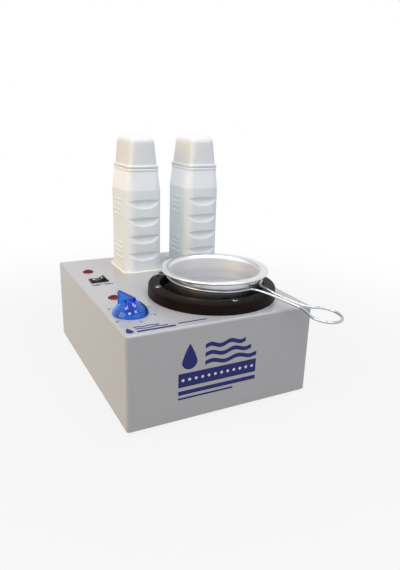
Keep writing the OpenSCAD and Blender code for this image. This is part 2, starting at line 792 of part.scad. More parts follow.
// the handle's own directions: s runs out along it, t across it
function handle_point(s, t, up) = [
    pot_x + s * cos(handle_az) - t * sin(handle_az),
    pot_y + s * sin(handle_az) + t * cos(handle_az),
    panel_z + up
];
function arm_point(s, t) = handle_point(s, t, arm_height(s));
function clip_height(s) = clip_up - clip_tilt * s;
function clip_point(a, r) =
    let (s = r * cos(a), t = r * sin(a)) handle_point(s, t, clip_height(s));

arm_root_a = asin(arm_root_gap / clip_r);
arm_root_s = clip_r * cos(arm_root_a);
arm_root_up = clip_height(arm_root_s);
function arm_height(s) = arm_root_up - arm_drop * (s - arm_root_s);
arm_narrow_s = arm_root_s + 22;
loop_s = arm_end + sqrt(loop_r * loop_r - arm_gap * arm_gap) + loop_r * 0.35;
function loop_height(s) = arm_height(arm_end) - loop_drop * (s - arm_end);
loop_from = 145;            // angle round the loop where the arms run into it

// one half of the wire, from the clip's free end to the tip of the loop
clip_turn = 9;              // angle over which the clip bends out at its free end
root_turn = 6;              // and over which it runs into an arm
function half_wire(side) = concat(
    bend(clip_point(side * (180 - clip_open - clip_turn + 1), clip_end),
         clip_point(side * (180 - clip_open), clip_r + 2),
         clip_point(side * (180 - clip_open - clip_turn), clip_r), bend_steps),
    [for (a = [180 - clip_open - clip_turn - clip_step : -clip_step : arm_root_a + 2 * root_turn])
        clip_point(side * a, clip_r)],
    bend(clip_point(side * (arm_root_a + root_turn), clip_r),
         handle_point(arm_root_s, side * arm_root_gap, arm_root_up),
         arm_point(arm_root_s + 8, side * (arm_root_gap - 1.9)), bend_steps),
    bend(arm_point(arm_narrow_s - 6, side * (arm_gap + 1.4)),
         arm_point(arm_narrow_s, side * arm_gap),
         arm_point(arm_narrow_s + 8, side * arm_gap), arm_steps),
    bend(arm_point(arm_end - 6, side * arm_gap),
         arm_point(arm_end, side * arm_gap),
         loop_point(side, loop_from), arm_steps + 1),
    [for (i = [1 : loop_steps / 2 - 1]) loop_point(side, loop_from * (1 - i / (loop_steps / 2)))]
);
function loop_point(side, a) =
    let (s = loop_s + loop_r * cos(a)) handle_point(s, side * loop_r * sin(a), loop_height(s));
function reversed(l) = [for (i = [len(l) - 1 : -1 : 0]) l[i]];
handle_tip = loop_point(1, 0);

module pot_handle() color("lightgray")
    tube(concat(half_wire(-1), [handle_tip], reversed(half_wire(1))), wire_d / 2, wire_sides);

// thermostat and knob

stat_under_z = under_z - stat_plate_t;
stat_top_z = stat_under_z - stat_neck_h;
module thermostat_body() color("darkkhaki") translate([knob_x, knob_y, 0]) difference() {
    union() {
        translate([-stat_plate_w / 2, -stat_d / 4, stat_under_z])
            cube([stat_plate_w, stat_d / 2, stat_plate_t]);
        translate([-stat_w / 2, -stat_d / 2, stat_top_z - stat_h]) cube([stat_w, stat_d, stat_h]);
        translate([0, 0, stat_top_z - eps]) cylinder(r = stat_neck_r, h = stat_neck_h + 2 * eps);
        // the nipple from which the capillary leaves
        translate([0, stat_nipple_y, stat_top_z - stat_h - stat_nipple_h])
            cylinder(r = stat_nipple_r, h = stat_nipple_h + eps);
    }
    translate([0, 0, stat_under_z - shaft_deep]) cylinder(r = shaft_r + run_gap, h = far);
    for (s = [-1, 1]) translate([s * stat_screw_x, 0, panel_z - stat_screw_len])
        cylinder(r = m3_r + thread_gap, h = far);
}

module thermostat_screws() color("silver") translate([knob_x, knob_y, panel_z]) for (s = [-1, 1])
    translate([s * stat_screw_x, 0, 0]) pan_screw(m3_r, stat_screw_len, m3_head_r, m3_head_h);

// the capillary's route inside the case, ending in the bulb
capillary_r = 0.8;
cap_start = [knob_x, knob_y + stat_nipple_y, stat_top_z - stat_h - stat_nipple_h];
cap_end = [bulb_x, bulb_y, bulb_z];
cap_low = [cap_start[0] + 24, cap_start[1] + 6, cap_end[2] + 1.7];
module thermostat_bulb() color("peru") {
    tube(concat([cap_start, cap_start - [0, 0, 10]],
        bend(cap_start - [0, 0, 18], [cap_start[0] + 2, cap_start[1] + 1, cap_low[2] + 2], cap_low, 4),
        bend(cap_end - [34, 3, 0.6], cap_end - [22, 0.4, 0], cap_end - [9, 0, 0], 2),
        [cap_end + [1, 0, 0]]), capillary_r, wire_round);
    translate([bulb_x, bulb_y, bulb_z]) rotate([0, 90, 0]) cylinder(r = bulb_r, h = bulb_len);
}

module shaft_section(gap) difference() {
    circle(shaft_r + gap);
    translate([shaft_flat + gap, -far / 2]) square([far, far]);
}

shaft_z = stat_under_z - shaft_deep + seat_gap;
module thermostat_shaft() color("silver") translate([knob_x, knob_y, shaft_z]) {
    cylinder(r = shaft_r, h = panel_z - shaft_z);
    rotate([0, 0, fin_az]) linear_extrude(panel_z + shaft_top - 0.1 - shaft_z) shaft_section(0);
}

// a moulded dome, flatter than a ball, hollow below, with a tall pointer
dome_foot = 0.8;
dome_step = 7.5;
module dome(r, h) rotate_extrude() polygon(concat([[0, 0], [r, 0]],
    [for (t = [dome_step : dome_step : 90 - dome_step])
        [r * pow(cos(t), 1.25), dome_foot + (h - dome_foot) * pow(sin(t), 1.35)]], [[0, h]]));

module knob() color([0.1, 0.3, 0.85, 0.75]) translate([knob_x, knob_y, panel_z + knob_lift])
    rotate([0, 0, fin_az]) difference() {
        union() {
            difference() {
                dome(knob_r, knob_h);
                translate([0, 0, -eps]) dome(knob_r - knob_wall, knob_h - knob_wall);
            }
            cylinder(r = boss_r, h = knob_h - knob_wall);
            translate([0, fin_t / 2, 0]) rotate([90, 0, 0]) linear_extrude(fin_t) polygon([
                [-fin_back, knob_h - knob_wall], [fin_reach - 4, knob_h - knob_wall - 3.2],
                [fin_reach, fin_foot_z], [fin_reach, fin_h], [-fin_back, knob_h + 1.6]
            ]);
        }
        translate([0, 0, -eps]) linear_extrude(shaft_top - knob_lift) shaft_section(run_gap);
    }

// switch and lamps

module switch_body() color([0.08, 0.08, 0.08]) translate([switch_x, switch_y, panel_z]) difference() {
    union() {
        rounded_prism(switch_l, switch_w, switch_frame_h, 1);
        translate([-switch_cut_l / 2, -switch_cut_w / 2, -switch_deep])
            cube([switch_cut_l, switch_cut_w, switch_deep + eps]);
    }
    translate([-switch_cut_l / 2 + switch_wall, -switch_cut_w / 2 + switch_wall, -switch_deep + 4])
        cube([switch_cut_l - 2 * switch_wall, switch_cut_w - 2 * switch_wall, far]);
    translate([0, 0, pivot_up]) rotate([90, 0, 0]) cylinder(r = pivot_r + run_gap, h = far, center = true);
}

module switch_rocker() color([0.1, 0.1, 0.1]) translate([switch_x, switch_y, panel_z + pivot_up])
    rotate([0, -rocker_tilt, 0]) {
        rotate([90, 0, 0]) linear_extrude(rocker_w, center = true) polygon([
            [-rocker_l / 2, pivot_up], [-rocker_l / 2, rocker_end_up], [-rocker_l / 4, rocker_mid_up + 0.5],
            [0, rocker_mid_up], [rocker_l / 4, rocker_mid_up + 0.5], [rocker_l / 2, rocker_end_up],
            [rocker_l / 2, pivot_up], [rocker_l / 5, -rocker_deep], [-rocker_l / 5, -rocker_deep]
        ]);
        rotate([90, 0, 0]) cylinder(r = pivot_r, h = switch_cut_w - 0.2, center = true);
    }

switch_tab_x = 5.5;
switch_tab_w = 4.8;
module switch_terminals() color("goldenrod") for (s = [-1, 0, 1])
    translate([switch_x + s * switch_tab_x - tab_t / 2, switch_y - switch_tab_w / 2,
               panel_z - switch_deep - tab_h])
        cube([tab_t, switch_tab_w, tab_h]);

lamp_tab_x = 2.5;
lamp_tab_w = 3;
module lamp() {
    translate([0, 0, -lamp_deep]) cylinder(r = lamp_body_r, h = lamp_deep + eps);
    rotate_extrude() intersection() {
        union() {
            square([lamp_r, lamp_flange_h]);
            translate([0, lamp_h - lamp_ball_r]) circle(lamp_ball_r);
        }
        square([lamp_r, far]);
    }
    for (s = [-1, 1]) translate([s * lamp_tab_x - tab_t / 2, -lamp_tab_w / 2, -lamp_deep - tab_h])
        cube([tab_t, lamp_tab_w, tab_h + eps]);
}
module power_lamp() color([0.55, 0.06, 0.06]) translate([lamp_x, lamp_rear_y, panel_z]) lamp();
module heat_lamp() color([0.55, 0.06, 0.06]) translate([lamp_x, lamp_front_y, panel_z]) lamp();
module lamp_clips() color("silver") for (y = [lamp_rear_y, lamp_front_y])
    translate([lamp_x, y, under_z - clip_t]) difference() {
        cylinder(r = lamp_body_r + 3, h = clip_t);
        translate([0, 0, -eps]) cylinder(r = lamp_body_r + thread_gap, h = far);
    }

// docks

dock_in_w = hand_w + 2 * slip_gap;
dock_in_d = hand_d + 2 * slip_gap;
dock_in_r = hand_r + slip_gap;
dock_cup_w = dock_in_w + 2 * dock_wall;
dock_cup_d = dock_in_d + 2 * dock_wall;
dock_cup_r = dock_in_r + dock_wall;
dock_tab_w = 10;
dock_tab_t = 1;
dock_tab_h = 5;

// one slab of the lip, drawn in by a share of its edge's radius
module dock_slab(z, h, share) translate([0, 0, z]) rounded_prism(
    hand_w + 2 * dock_lip - 2 * share * dock_edge_r, hand_d + 2 * dock_lip - 2 * share * dock_edge_r,
    h, hand_r + dock_lip - share * dock_edge_r);

module dock_body() difference() {
    union() {
        translate([0, 0, -dock_depth]) rounded_prism(dock_cup_w, dock_cup_d, dock_depth + eps, dock_cup_r);
        // the lip's rounded edge in three steps
        dock_slab(0, dock_lip_h - dock_edge_r, 0);
        dock_slab(0, dock_lip_h - 0.4 * dock_edge_r, 0.3);
        dock_slab(0, dock_lip_h, 1);
        // snap tabs under the panel
        for (s = [-1, 1])
            translate([-dock_tab_w / 2, s * (dock_cup_d + dock_tab_t) / 2 - dock_tab_t / 2 - s * eps,
                       -sheet_t - dock_tab_h])
                cube([dock_tab_w, dock_tab_t, dock_tab_h]);
    }
    translate([0, 0, -dock_depth + dock_floor_t]) rounded_prism(dock_in_w, dock_in_d, far, dock_in_r);
    for (s = [-1, 1]) translate([0, s * contact_pitch / 2, -dock_depth - eps])
        cylinder(r = contact_r + thread_gap, h = far);
}
module dock_left() color("ivory") translate([hand_left_x, hand_y, panel_z]) dock_body();
module dock_right() color("ivory") translate([hand_right_x, hand_y, panel_z]) dock_body();

contact_tail = 8;
module dock_contacts() color("gold") for (x = [hand_left_x, hand_right_x], s = [-1, 1])
    translate([x, hand_y + s * contact_pitch / 2, panel_z - dock_depth]) {
        translate([0, 0, -contact_tail])
            cylinder(r = contact_r, h = contact_tail + dock_floor_t + contact_up - 1);
        translate([0, 0, dock_floor_t + contact_up - 1])
            cylinder(r1 = contact_r, r2 = contact_r - 0.8, h = 1);
        translate([0, 0, -1]) cylinder(r = contact_r + 1.4, h = 1);
    }

// handpieces

// a lens-shaped groove: flat above, sloping back out to a curved lower edge
groove_lean = atan(groove_depth / groove_h);
groove_cut_r = (groove_half_w * groove_half_w + groove_depth * groove_depth) / (2 * groove_depth);
module groove() intersection() {
    translate([-far / 2, -far / 2, -groove_h - groove_depth])
        cube([far, far, groove_h + groove_depth]);
    translate([0, groove_depth, 0]) rotate([-groove_lean, 0, 0])
        translate([0, -groove_cut_r, -far / 2]) cylinder(r = groove_cut_r, h = far);
}

module housing_solid() {
    translate([0, 0, housing_z]) rounded_prism(hand_w, hand_d, grip_z - housing_z, hand_r);
    hull() {
        translate([0, 0, grip_z]) linear_extrude(eps)
            rounded_rect(hand_w, hand_d, hand_r, $fn = hull_fn);
        translate([0, 0, shoulder_z]) linear_extrude(eps)
            rounded_rect(neck_w, neck_d, neck_r, $fn = hull_fn);
    }
    translate([0, 0, shoulder_z]) rounded_prism(rim_w, rim_d, rim_h, rim_r);
    // ribs on both wide sides
    for (s = [-1, 1], up = [rib_low_up, rib_high_up], i = [0 : rib_count - 1])
        translate([s * (hand_w / 2 - rib_out), 0, panel_z + up + i * rib_pitch])
            rotate([0, s * 90, 0]) rounded_prism(rib_h, rib_len, 2 * rib_out, rib_h / 2 - eps);
}

module housing_shape() difference() {
    housing_solid();
    translate([0, 0, housing_z - eps]) rounded_prism(bore_w, bore_d, far, bore_r);
    translate([-bore_w / 2 - heater_t, -heater_w / 2, heater_z])
        cube([heater_t + bore_r, heater_w, heater_h]);
    for (m = [0, 1], i = [0 : groove_count - 1])
        mirror([0, m, 0]) translate([0, -hand_d / 2, panel_z + groove_up + i * groove_pitch]) groove();
}
module housing_left() color("whitesmoke") translate([hand_left_x, hand_y, 0]) housing_shape();
module housing_right() color("whitesmoke") translate([hand_right_x, hand_y, 0]) housing_shape();

module handpiece_base() difference() {
    union() {
        translate([0, 0, hand_z]) rounded_prism(hand_w, hand_d, hand_base_t, hand_r);
        translate([0, 0, housing_z - eps])
            rounded_prism(bore_w - 2 * plug_gap, bore_d - 2 * plug_gap, plug_deep + eps, bore_r - plug_gap);
    }
    for (s = [-1, 1]) translate([0, s * contact_pitch / 2, hand_z - eps])
        cylinder(r = contact_r + slip_gap, h = contact_up);
}
module handpiece_base_left() color("white") translate([hand_left_x, hand_y, 0]) handpiece_base();
module handpiece_base_right() color("white") translate([hand_right_x, hand_y, 0]) handpiece_base();

module heater_plate() translate([-bore_w / 2 - heater_t, -heater_w / 2 + plug_gap, heater_z + plug_gap])
    cube([heater_t - plug_gap, heater_w - 2 * plug_gap, heater_h - 2 * plug_gap]);
module heater_plate_left() color("silver") translate([hand_left_x, hand_y, 0]) heater_plate();
module heater_plate_right() color("silver") translate([hand_right_x, hand_y, 0]) heater_plate();

// a wax cartridge: a plastic bottle whose open top takes the roller's head
cart_mouth_w = head_w - 2 * head_inset;
cart_mouth_d = head_d - 2 * head_inset;
cart_mouth_r = 3;
cart_h = cart_top_z - cart_z;
module cartridge() translate([0, 0, cart_z]) difference() {
    rounded_prism(cart_w, cart_d, cart_h, cart_r);
    translate([0, 0, cart_wall])
        rounded_prism(cart_w - 2 * cart_wall, cart_d - 2 * cart_wall, cart_h - 3 * cart_wall,
            cart_r - cart_wall);
    translate([0, 0, cart_h - 3 * cart_wall]) rounded_prism(cart_mouth_w, cart_mouth_d, far, cart_mouth_r);
}
module cartridge_left() color([0.95, 0.85, 0.6]) translate([hand_left_x, hand_y, 0]) cartridge();
module cartridge_right() color([0.95, 0.85, 0.6]) translate([hand_right_x, hand_y, 0]) cartridge();

head_plug_w = cart_mouth_w - 2 * plug_gap;
head_plug_d = cart_mouth_d - 2 * plug_gap;
head_wall = 2.5;
head_ear_w = 9;
head_ear_t = 2.8;
module roller_head() difference() {
    union() {
        translate([0, 0, cart_top_z - head_plug_deep])
            rounded_prism(head_plug_w, head_plug_d, head_plug_deep + eps, cart_mouth_r - plug_gap);
        translate([0, 0, cart_top_z]) rounded_prism(head_w + 2, head_d + 2, head_flange_t, cart_mouth_r + 1);
        translate([0, 0, cart_top_z + head_flange_t - eps])
            rounded_prism(head_w, head_d, roller_z - cart_top_z - head_flange_t, cart_mouth_r);
        for (s = [-1, 1])
            translate([-head_ear_w / 2, s * (head_d - head_ear_t) / 2 - head_ear_t / 2, roller_z - 1])
                cube([head_ear_w, head_ear_t, ear_top_z - roller_z + 1]);
    }
    translate([0, 0, roller_z]) rotate([90, 0, 0])
        cylinder(r = roller_r + head_slot, h = roller_len + 2 * head_slot, center = true);
    translate([0, 0, cart_top_z - head_plug_deep - eps])
        rounded_prism(head_plug_w - 2 * head_wall, head_plug_d - 2 * head_wall, roller_z - cart_top_z, 2);
    translate([0, 0, roller_z]) rotate([90, 0, 0])
        cylinder(r = roller_pin_r + run_gap, h = far, center = true);
}
module roller_head_left() color("white") translate([hand_left_x, hand_y, 0]) roller_head();
module roller_head_right() color("white") translate([hand_right_x, hand_y, 0]) roller_head();

module roller() translate([0, 0, roller_z]) rotate([90, 0, 0]) {
    cylinder(r = roller_r, h = roller_len, center = true);
    cylinder(r = roller_pin_r, h = head_d - head_slot, center = true);
}
module roller_left() color("ivory") translate([hand_left_x, hand_y, 0]) roller();
module roller_right() color("ivory") translate([hand_right_x, hand_y, 0]) roller();

// the cap's outside, or its hollow when drawn inwards by the wall
module cap_form(inset) hull() {
    w = cap_w - 2 * inset;
    d = cap_d - 2 * inset;
    top_r = cap_top_r - inset;
    top_x = (w - cap_taper) / 2 - top_r;
    top_y = (d - cap_taper) / 2 - top_r;
    linear_extrude(eps) rounded_rect(w, d, cap_r - inset, $fn = hull_fn);
    for (sx = [-1, 1], sy = [-1, 1])
        translate([sx * top_x, sy * top_y, cap_h - inset - top_r]) sphere(top_r, $fn = hull_fn);
}
module cap() translate([0, 0, cap_body_z]) difference() {
    union() {
        cap_form(0);
        translate([0, 0, -cap_flange_t]) rounded_prism(rim_w, rim_d, cap_flange_t + eps, rim_r);
        translate([0, 0, -cap_flange_t - skirt_h]) rounded_prism(skirt_w, skirt_d, skirt_h + eps, cap_r);
    }
    cap_form(cap_wall);
    translate([0, 0, -cap_flange_t - skirt_h - eps]) rounded_prism(skirt_w - 2 * cap_wall,
        skirt_d - 2 * cap_wall, cap_flange_t + skirt_h + 2 * eps, cap_r - cap_wall);
}
module cap_left() color([0.96, 0.96, 0.94, 0.8]) translate([hand_left_x, hand_y, 0]) cap();
module cap_right() color([0.96, 0.96, 0.94, 0.8]) translate([hand_right_x, hand_y, 0]) cap();

// mains inlet, terminals and wiring

module at_inlet() translate([inlet_x, inlet_y, inlet_up]) rotate([-90, 0, 0]) children();

module mains_inlet() color([0.1, 0.1, 0.1]) at_inlet() difference() {
    union() {
        rounded_prism(inlet_ear_w, inlet_ear_h, inlet_ear_t, 5);
        translate([-inlet_w / 2, -inlet_h / 2, -inlet_deep]) cube([inlet_w, inlet_h, inlet_deep + eps]);
    }
    translate([0, 0, inlet_ear_t - inlet_socket_deep]) linear_extrude(far) polygon([
        [-inlet_socket_w / 2, inlet_socket_h / 2], [inlet_socket_w / 2, inlet_socket_h / 2],
        [inlet_socket_w / 2, -inlet_socket_h / 4], [inlet_socket_w / 2 - 4, -inlet_socket_h / 2],
        [-inlet_socket_w / 2 + 4, -inlet_socket_h / 2], [-inlet_socket_w / 2, -inlet_socket_h / 4]
    ]);
    at_inlet_pins() cube([pin_w + plug_gap, pin_h + plug_gap, far], center = true);
    for (s = [-1, 1]) translate([s * inlet_pitch / 2, 0, -eps]) cylinder(r = m3_r + screw_gap, h = far);
}
module at_inlet_pins() {
    translate([0, -earth_pin_up, 0]) children();
    for (s = [-1, 1]) translate([s * pin_x, pin_drop, 0]) children();
}
module inlet_pins() color("silver") at_inlet() at_inlet_pins()
    translate([-pin_w / 2, -pin_h / 2, -inlet_deep - tab_h])
        cube([pin_w, pin_h, inlet_deep + tab_h + inlet_ear_t - 3]);
module inlet_screws() color("silver") at_inlet() for (s = [-1, 1]) translate([s * inlet_pitch / 2, 0, 0]) {
    translate([0, 0, inlet_ear_t]) pan_screw(m3_r, inlet_ear_t + sheet_t + 4, m3_head_r, m3_head_h);
    translate([0, 0, -sheet_t - m3_nut_h]) hex_nut(m3_nut_r, m3_r + thread_gap, m3_nut_h);
}

block_x = 33 - case_w / 2;
block_y = 6;
block_w = 17;
block_d = 48;
block_h = 13;
poles = 4;
pole_pitch = block_d / poles;
pole_hole_r = 1.8;
pole_screw_x = 4;
module terminal_block() color("white") translate([block_x, block_y, cover_z]) difference() {
    translate([-block_w / 2, -block_d / 2, 0]) cube([block_w, block_d, block_h]);
    at_poles() {
        translate([0, 0, block_h / 2]) rotate([0, 90, 0]) cylinder(r = pole_hole_r, h = far, center = true);
        for (s = [-1, 1]) translate([s * pole_screw_x, 0, block_h / 2]) cylinder(r = pole_hole_r, h = far);
    }
}
module at_poles() for (i = [0 : poles - 1])
    translate([0, (i - (poles - 1) / 2) * pole_pitch, 0]) children();
module terminal_screws() color("silver") translate([block_x, block_y, cover_z]) at_poles()
    for (s = [-1, 1]) translate([s * pole_screw_x, 0, block_h / 2 + pole_hole_r])
        cylinder(r = pole_hole_r - thread_gap, h = 3);

earth_x = 23 - case_w / 2;
earth_y = case_d / 2 - 32.5;
earth_h = 14;
module earth_stud() color("goldenrod") translate([earth_x, earth_y, cover_z]) {
    cylinder(r = m4_r, h = earth_h);
    cylinder(r = m4_nut_r, h = m4_nut_h, $fn = 6);
    translate([0, 0, earth_h / 2]) hex_nut(m4_nut_r, m4_r + thread_gap, m4_nut_h);
}

// each wire's route is chosen by hand between two terminals
wire_r = 1.1;
wire_straight = 3;          // length over which a wire leaves its terminal straight
pin_end_y = inlet_y - inlet_deep - tab_h;
tab_end_z = panel_z - switch_deep - tab_h;
lamp_end_z = panel_z - lamp_deep - tab_h;
hole_z = cover_z + block_h / 2;
block_left = block_x - block_w / 2;
block_right = block_x + block_w / 2;
function pole_y(i) = block_y + (i - (poles - 1) / 2) * pole_pitch;
// into the terminal block from its left or its right side
function into_block(side, i) = let (x = block_x + side * block_w / 2) [
    [x + side * 10, pole_y(i) + 1, hole_z], [x + side * 4, pole_y(i), hole_z],
    [x - side * wire_straight, pole_y(i), hole_z]];
function from_pin(x, up) = [
    [x, pin_end_y, up], [x, pin_end_y - wire_straight, up], [x, pin_end_y - 3 * wire_straight, up - 2]];
function from_tab(x, y, z) = [[x, y, z], [x, y, z - wire_straight], [x, y, z - 3 * wire_straight]];
routes = [
    concat(from_pin(inlet_x - pin_x, inlet_up - pin_drop),
        [[block_left + 6.5, pin_end_y - 22.5, 22], [block_left - 1.5, 58, 13],
         [block_left - 11.5, 36, hole_z]], into_block(-1, 3)),
    concat(from_pin(inlet_x + pin_x, inlet_up - pin_drop),
        [[block_right + 10.5, pin_end_y - 24.5, 20], [block_right + 12.5, 56, 12],
         [block_right + 13.5, 36, hole_z]], into_block(1, 3)),
    concat(from_pin(inlet_x, inlet_up + earth_pin_up),
        [[earth_x + 18, earth_y - 10, 28], [earth_x + 12, earth_y - 8, 19],
         [earth_x + 7, earth_y - 3.5, cover_z + 5], [earth_x + 3.8, earth_y - 1.8, cover_z + 4.5]]),
    concat(from_tab(switch_x - switch_tab_x, switch_y, tab_end_z),
        [[block_left - 11.5, 30, 40], [block_left - 14.5, 20, 18]], into_block(-1, 2)),
    concat(from_tab(switch_x + switch_tab_x, switch_y, tab_end_z),
        [[block_right + 1.5, 28, 40], [block_right + 11.5, 18, 18]], into_block(1, 2)),
    concat(from_tab(lamp_x - lamp_tab_x, lamp_front_y, lamp_end_z),
        [[block_left - 7.5, -18, 40], [block_left - 14.5, -6, 18]], into_block(-1, 1)),
    concat(from_tab(lamp_x + lamp_tab_x, lamp_front_y, lamp_end_z),
        [[block_right - 0.5, -14, 38], [block_right + 11.5, -4, 18]], into_block(1, 1)),
    concat(from_tab(lamp_x - lamp_tab_x, lamp_rear_y, lamp_end_z),
        [[block_left - 15.5, 60, 54], [block_left - 18.5, 20, 34], [block_left - 17.5, -8, 16]],
        into_block(-1, 0))
];
module wiring() color("firebrick") for (route = routes) tube(route, wire_r, wire_round);

case_cover();
base_plate();
base_screws();
rubber_feet();
foot_screws();
foot_nuts();
heat_shield();
shield_rivets();
well_ring();
ring_screws();
ring_nuts();
heating_well();
band_heater();
band_bolt();
well_insulation();
thermal_cutout();
cutout_screws();
wax_pot();
pot_handle();
thermostat_body();
thermostat_screws();
thermostat_bulb();
thermostat_shaft();
knob();
switch_body();
switch_rocker();
switch_terminals();
power_lamp();
heat_lamp();
lamp_clips();
dock_left();
dock_right();
dock_contacts();
housing_left();
housing_right();
handpiece_base_left();
handpiece_base_right();
heater_plate_left();
heater_plate_right();
cartridge_left();
cartridge_right();
roller_head_left();
roller_head_right();
roller_left();
roller_right();
cap_left();
cap_right();
mains_inlet();
inlet_pins();
inlet_screws();
terminal_block();
terminal_screws();
earth_stud();
wiring();
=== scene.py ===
import bmesh
import bpy
import json
import math
from mathutils import Matrix, Vector


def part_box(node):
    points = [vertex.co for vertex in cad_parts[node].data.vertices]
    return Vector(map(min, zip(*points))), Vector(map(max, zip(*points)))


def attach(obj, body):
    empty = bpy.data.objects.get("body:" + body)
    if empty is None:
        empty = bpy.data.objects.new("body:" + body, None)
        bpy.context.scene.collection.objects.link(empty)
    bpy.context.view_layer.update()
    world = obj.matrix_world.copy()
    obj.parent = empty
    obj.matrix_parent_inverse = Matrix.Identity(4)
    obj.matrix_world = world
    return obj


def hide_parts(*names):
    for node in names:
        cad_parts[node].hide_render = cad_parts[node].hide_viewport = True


mm = 0.001
weld = 0.002 * mm

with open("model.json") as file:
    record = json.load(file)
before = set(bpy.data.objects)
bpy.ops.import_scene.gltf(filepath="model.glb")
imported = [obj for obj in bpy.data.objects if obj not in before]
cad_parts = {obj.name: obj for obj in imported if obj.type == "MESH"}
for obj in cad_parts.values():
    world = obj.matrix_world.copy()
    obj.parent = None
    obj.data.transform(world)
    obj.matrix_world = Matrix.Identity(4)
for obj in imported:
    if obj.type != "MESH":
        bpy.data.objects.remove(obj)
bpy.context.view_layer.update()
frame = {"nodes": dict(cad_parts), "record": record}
cadNodes = frame["nodes"]
print("frame loaded,", len(cadNodes), "nodes")


def linear(hexColour):
    # sRGB hex to the linear values that the sockets take
    channels = [int(hexColour[i:i + 2], 16) / 255 for i in (1, 3, 5)]
    return [c / 12.92 if c <= 0.04045 else ((c + 0.055) / 1.055) ** 2.4 for c in channels] + [1.0]


def addNode(tree, kind, settings=None, links=None):
    node = tree.nodes.new(kind)
    for name, value in (settings or {}).items():
        if isinstance(name, int) or name in node.inputs:
            node.inputs[name].default_value = value
        else:
            setattr(node, name, value)
    for name, source in (links or {}).items():
        tree.links.new(source, node.inputs[name])
    return node


def startMaterial(name, settings):
    material = bpy.data.materials.new(name)
    material.use_nodes = True
    tree = material.node_tree
    tree.nodes.clear()
    shader = addNode(tree, "ShaderNodeBsdfPrincipled", settings)
    addNode(tree, "ShaderNodeOutputMaterial", {}, {"Surface": shader.outputs[0]})
    return material, tree, shader


def whiteRays(tree):
    # 1 for the camera and for mirrors and glass, so that these show the white too
    rays = addNode(tree, "ShaderNodeLightPath")
    seen = addNode(tree, "ShaderNodeMath", {"operation": "MAXIMUM"},
                   {0: rays.outputs["Is Camera Ray"], 1: rays.outputs["Is Glossy Ray"]})
    return addNode(tree, "ShaderNodeMath", {"operation": "MAXIMUM"},
                   {0: seen.outputs[0], 1: rays.outputs["Is Transmission Ray"]}).outputs[0]


def grain(tree, shader, sizeMm, depthMm, detail=2.0):
    # a moulded or sprayed surface: soft lumps of a real size
    where = addNode(tree, "ShaderNodeTexCoord")
    lumps = addNode(tree, "ShaderNodeTexNoise", {"Scale": 1 / (sizeMm * mm), "Detail": detail},
                    {"Vector": where.outputs["Object"]})
    bump = addNode(tree, "ShaderNodeBump", {"Strength": 1.0, "Distance": depthMm * mm},
                   {"Height": lumps.outputs[0]})
    tree.links.new(bump.outputs[0], shader.inputs["Normal"])
    return lumps


def mottle(tree, shader, hexLow, hexHigh, sizeMm):
    # a faint, slow change of tone, as thickness and handling give
    where = addNode(tree, "ShaderNodeTexCoord")
    patches = addNode(tree, "ShaderNodeTexNoise", {"Scale": 1 / (sizeMm * mm), "Detail": 1.0},
                      {"Vector": where.outputs["Object"]})
    tones = addNode(tree, "ShaderNodeMix", {"data_type": "RGBA", 6: linear(hexLow), 7: linear(hexHigh)},
                    {0: patches.outputs[0]})
    tree.links.new(tones.outputs[2], shader.inputs["Base Color"])


def arc(centreR, centreZ, radius, fromDeg, toDeg, steps):
    return [(centreR + radius * math.cos(math.radians(fromDeg + (toDeg - fromDeg) * i / steps)),
             centreZ + radius * math.sin(math.radians(fromDeg + (toDeg - fromDeg) * i / steps)))
            for i in range(steps + 1)]


def finishMesh(name, bm, material, sharpDeg=35):
    bmesh.ops.remove_doubles(bm, verts=bm.verts, dist=weld)
    bmesh.ops.recalc_face_normals(bm, faces=bm.faces)
    mesh = bpy.data.meshes.new(name)
    bm.to_mesh(mesh)
    bm.free()
    for face in mesh.polygons:
        face.use_smooth = True
    mesh.set_sharp_from_angle(angle=math.radians(sharpDeg))
    mesh.materials.append(material)
    piece = bpy.data.objects.new(name, mesh)
    bpy.context.collection.objects.link(piece)
    return piece


def place(piece, body, slotName, *replaced):
    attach(piece, body)
    if replaced:
        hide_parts(*replaced)


def turned(profile, centre, steps=128):
    # a closed outline of (radius, height) in mm, spun once round an upright axis
    bm = bmesh.new()
    points = [bm.verts.new((r * mm, 0, z * mm)) for r, z in profile]
    sides = [bm.edges.new((points[i - 1], points[i])) for i in range(len(points))]
    bmesh.ops.spin(bm, geom=points + sides, cent=(0, 0, 0), axis=(0, 0, 1),
                   angle=math.tau, steps=steps, use_merge=True)
    bmesh.ops.remove_doubles(bm, verts=bm.verts, dist=weld)
    bmesh.ops.translate(bm, verts=bm.verts, vec=centre)
    return bm


def roundedLoop(bm, width, depth, radius, height, arcSteps, flatCuts=(0, 0)):
    # a circle pulled apart into a rounded rectangle, sizes in mm
    half = math.pi / (4 * arcSteps)
    verts = bmesh.ops.create_circle(bm, segments=4 * arcSteps, radius=radius * mm / math.cos(half),
                                    matrix=Matrix.Rotation(half, 4, "Z"))["verts"]
    for v in verts:
        v.co.x += math.copysign((width / 2 - radius) * mm, v.co.x)
        v.co.y += math.copysign((depth / 2 - radius) * mm, v.co.y)
        v.co.z = height * mm
    edges = list(dict.fromkeys(e for v in verts for e in v.link_edges))
    for axis, cuts in enumerate(flatCuts):
        if cuts:  # the flats are the edges that run across the middle
            across = [e for e in edges if e.verts[0].co[axis] * e.verts[1].co[axis] < 0]
            made = bmesh.ops.subdivide_edges(bm, edges=across, cuts=cuts)["geom_split"]
            edges = list(dict.fromkeys(edges + [g for g in made if isinstance(g, bmesh.types.BMEdge)]))
    return edges


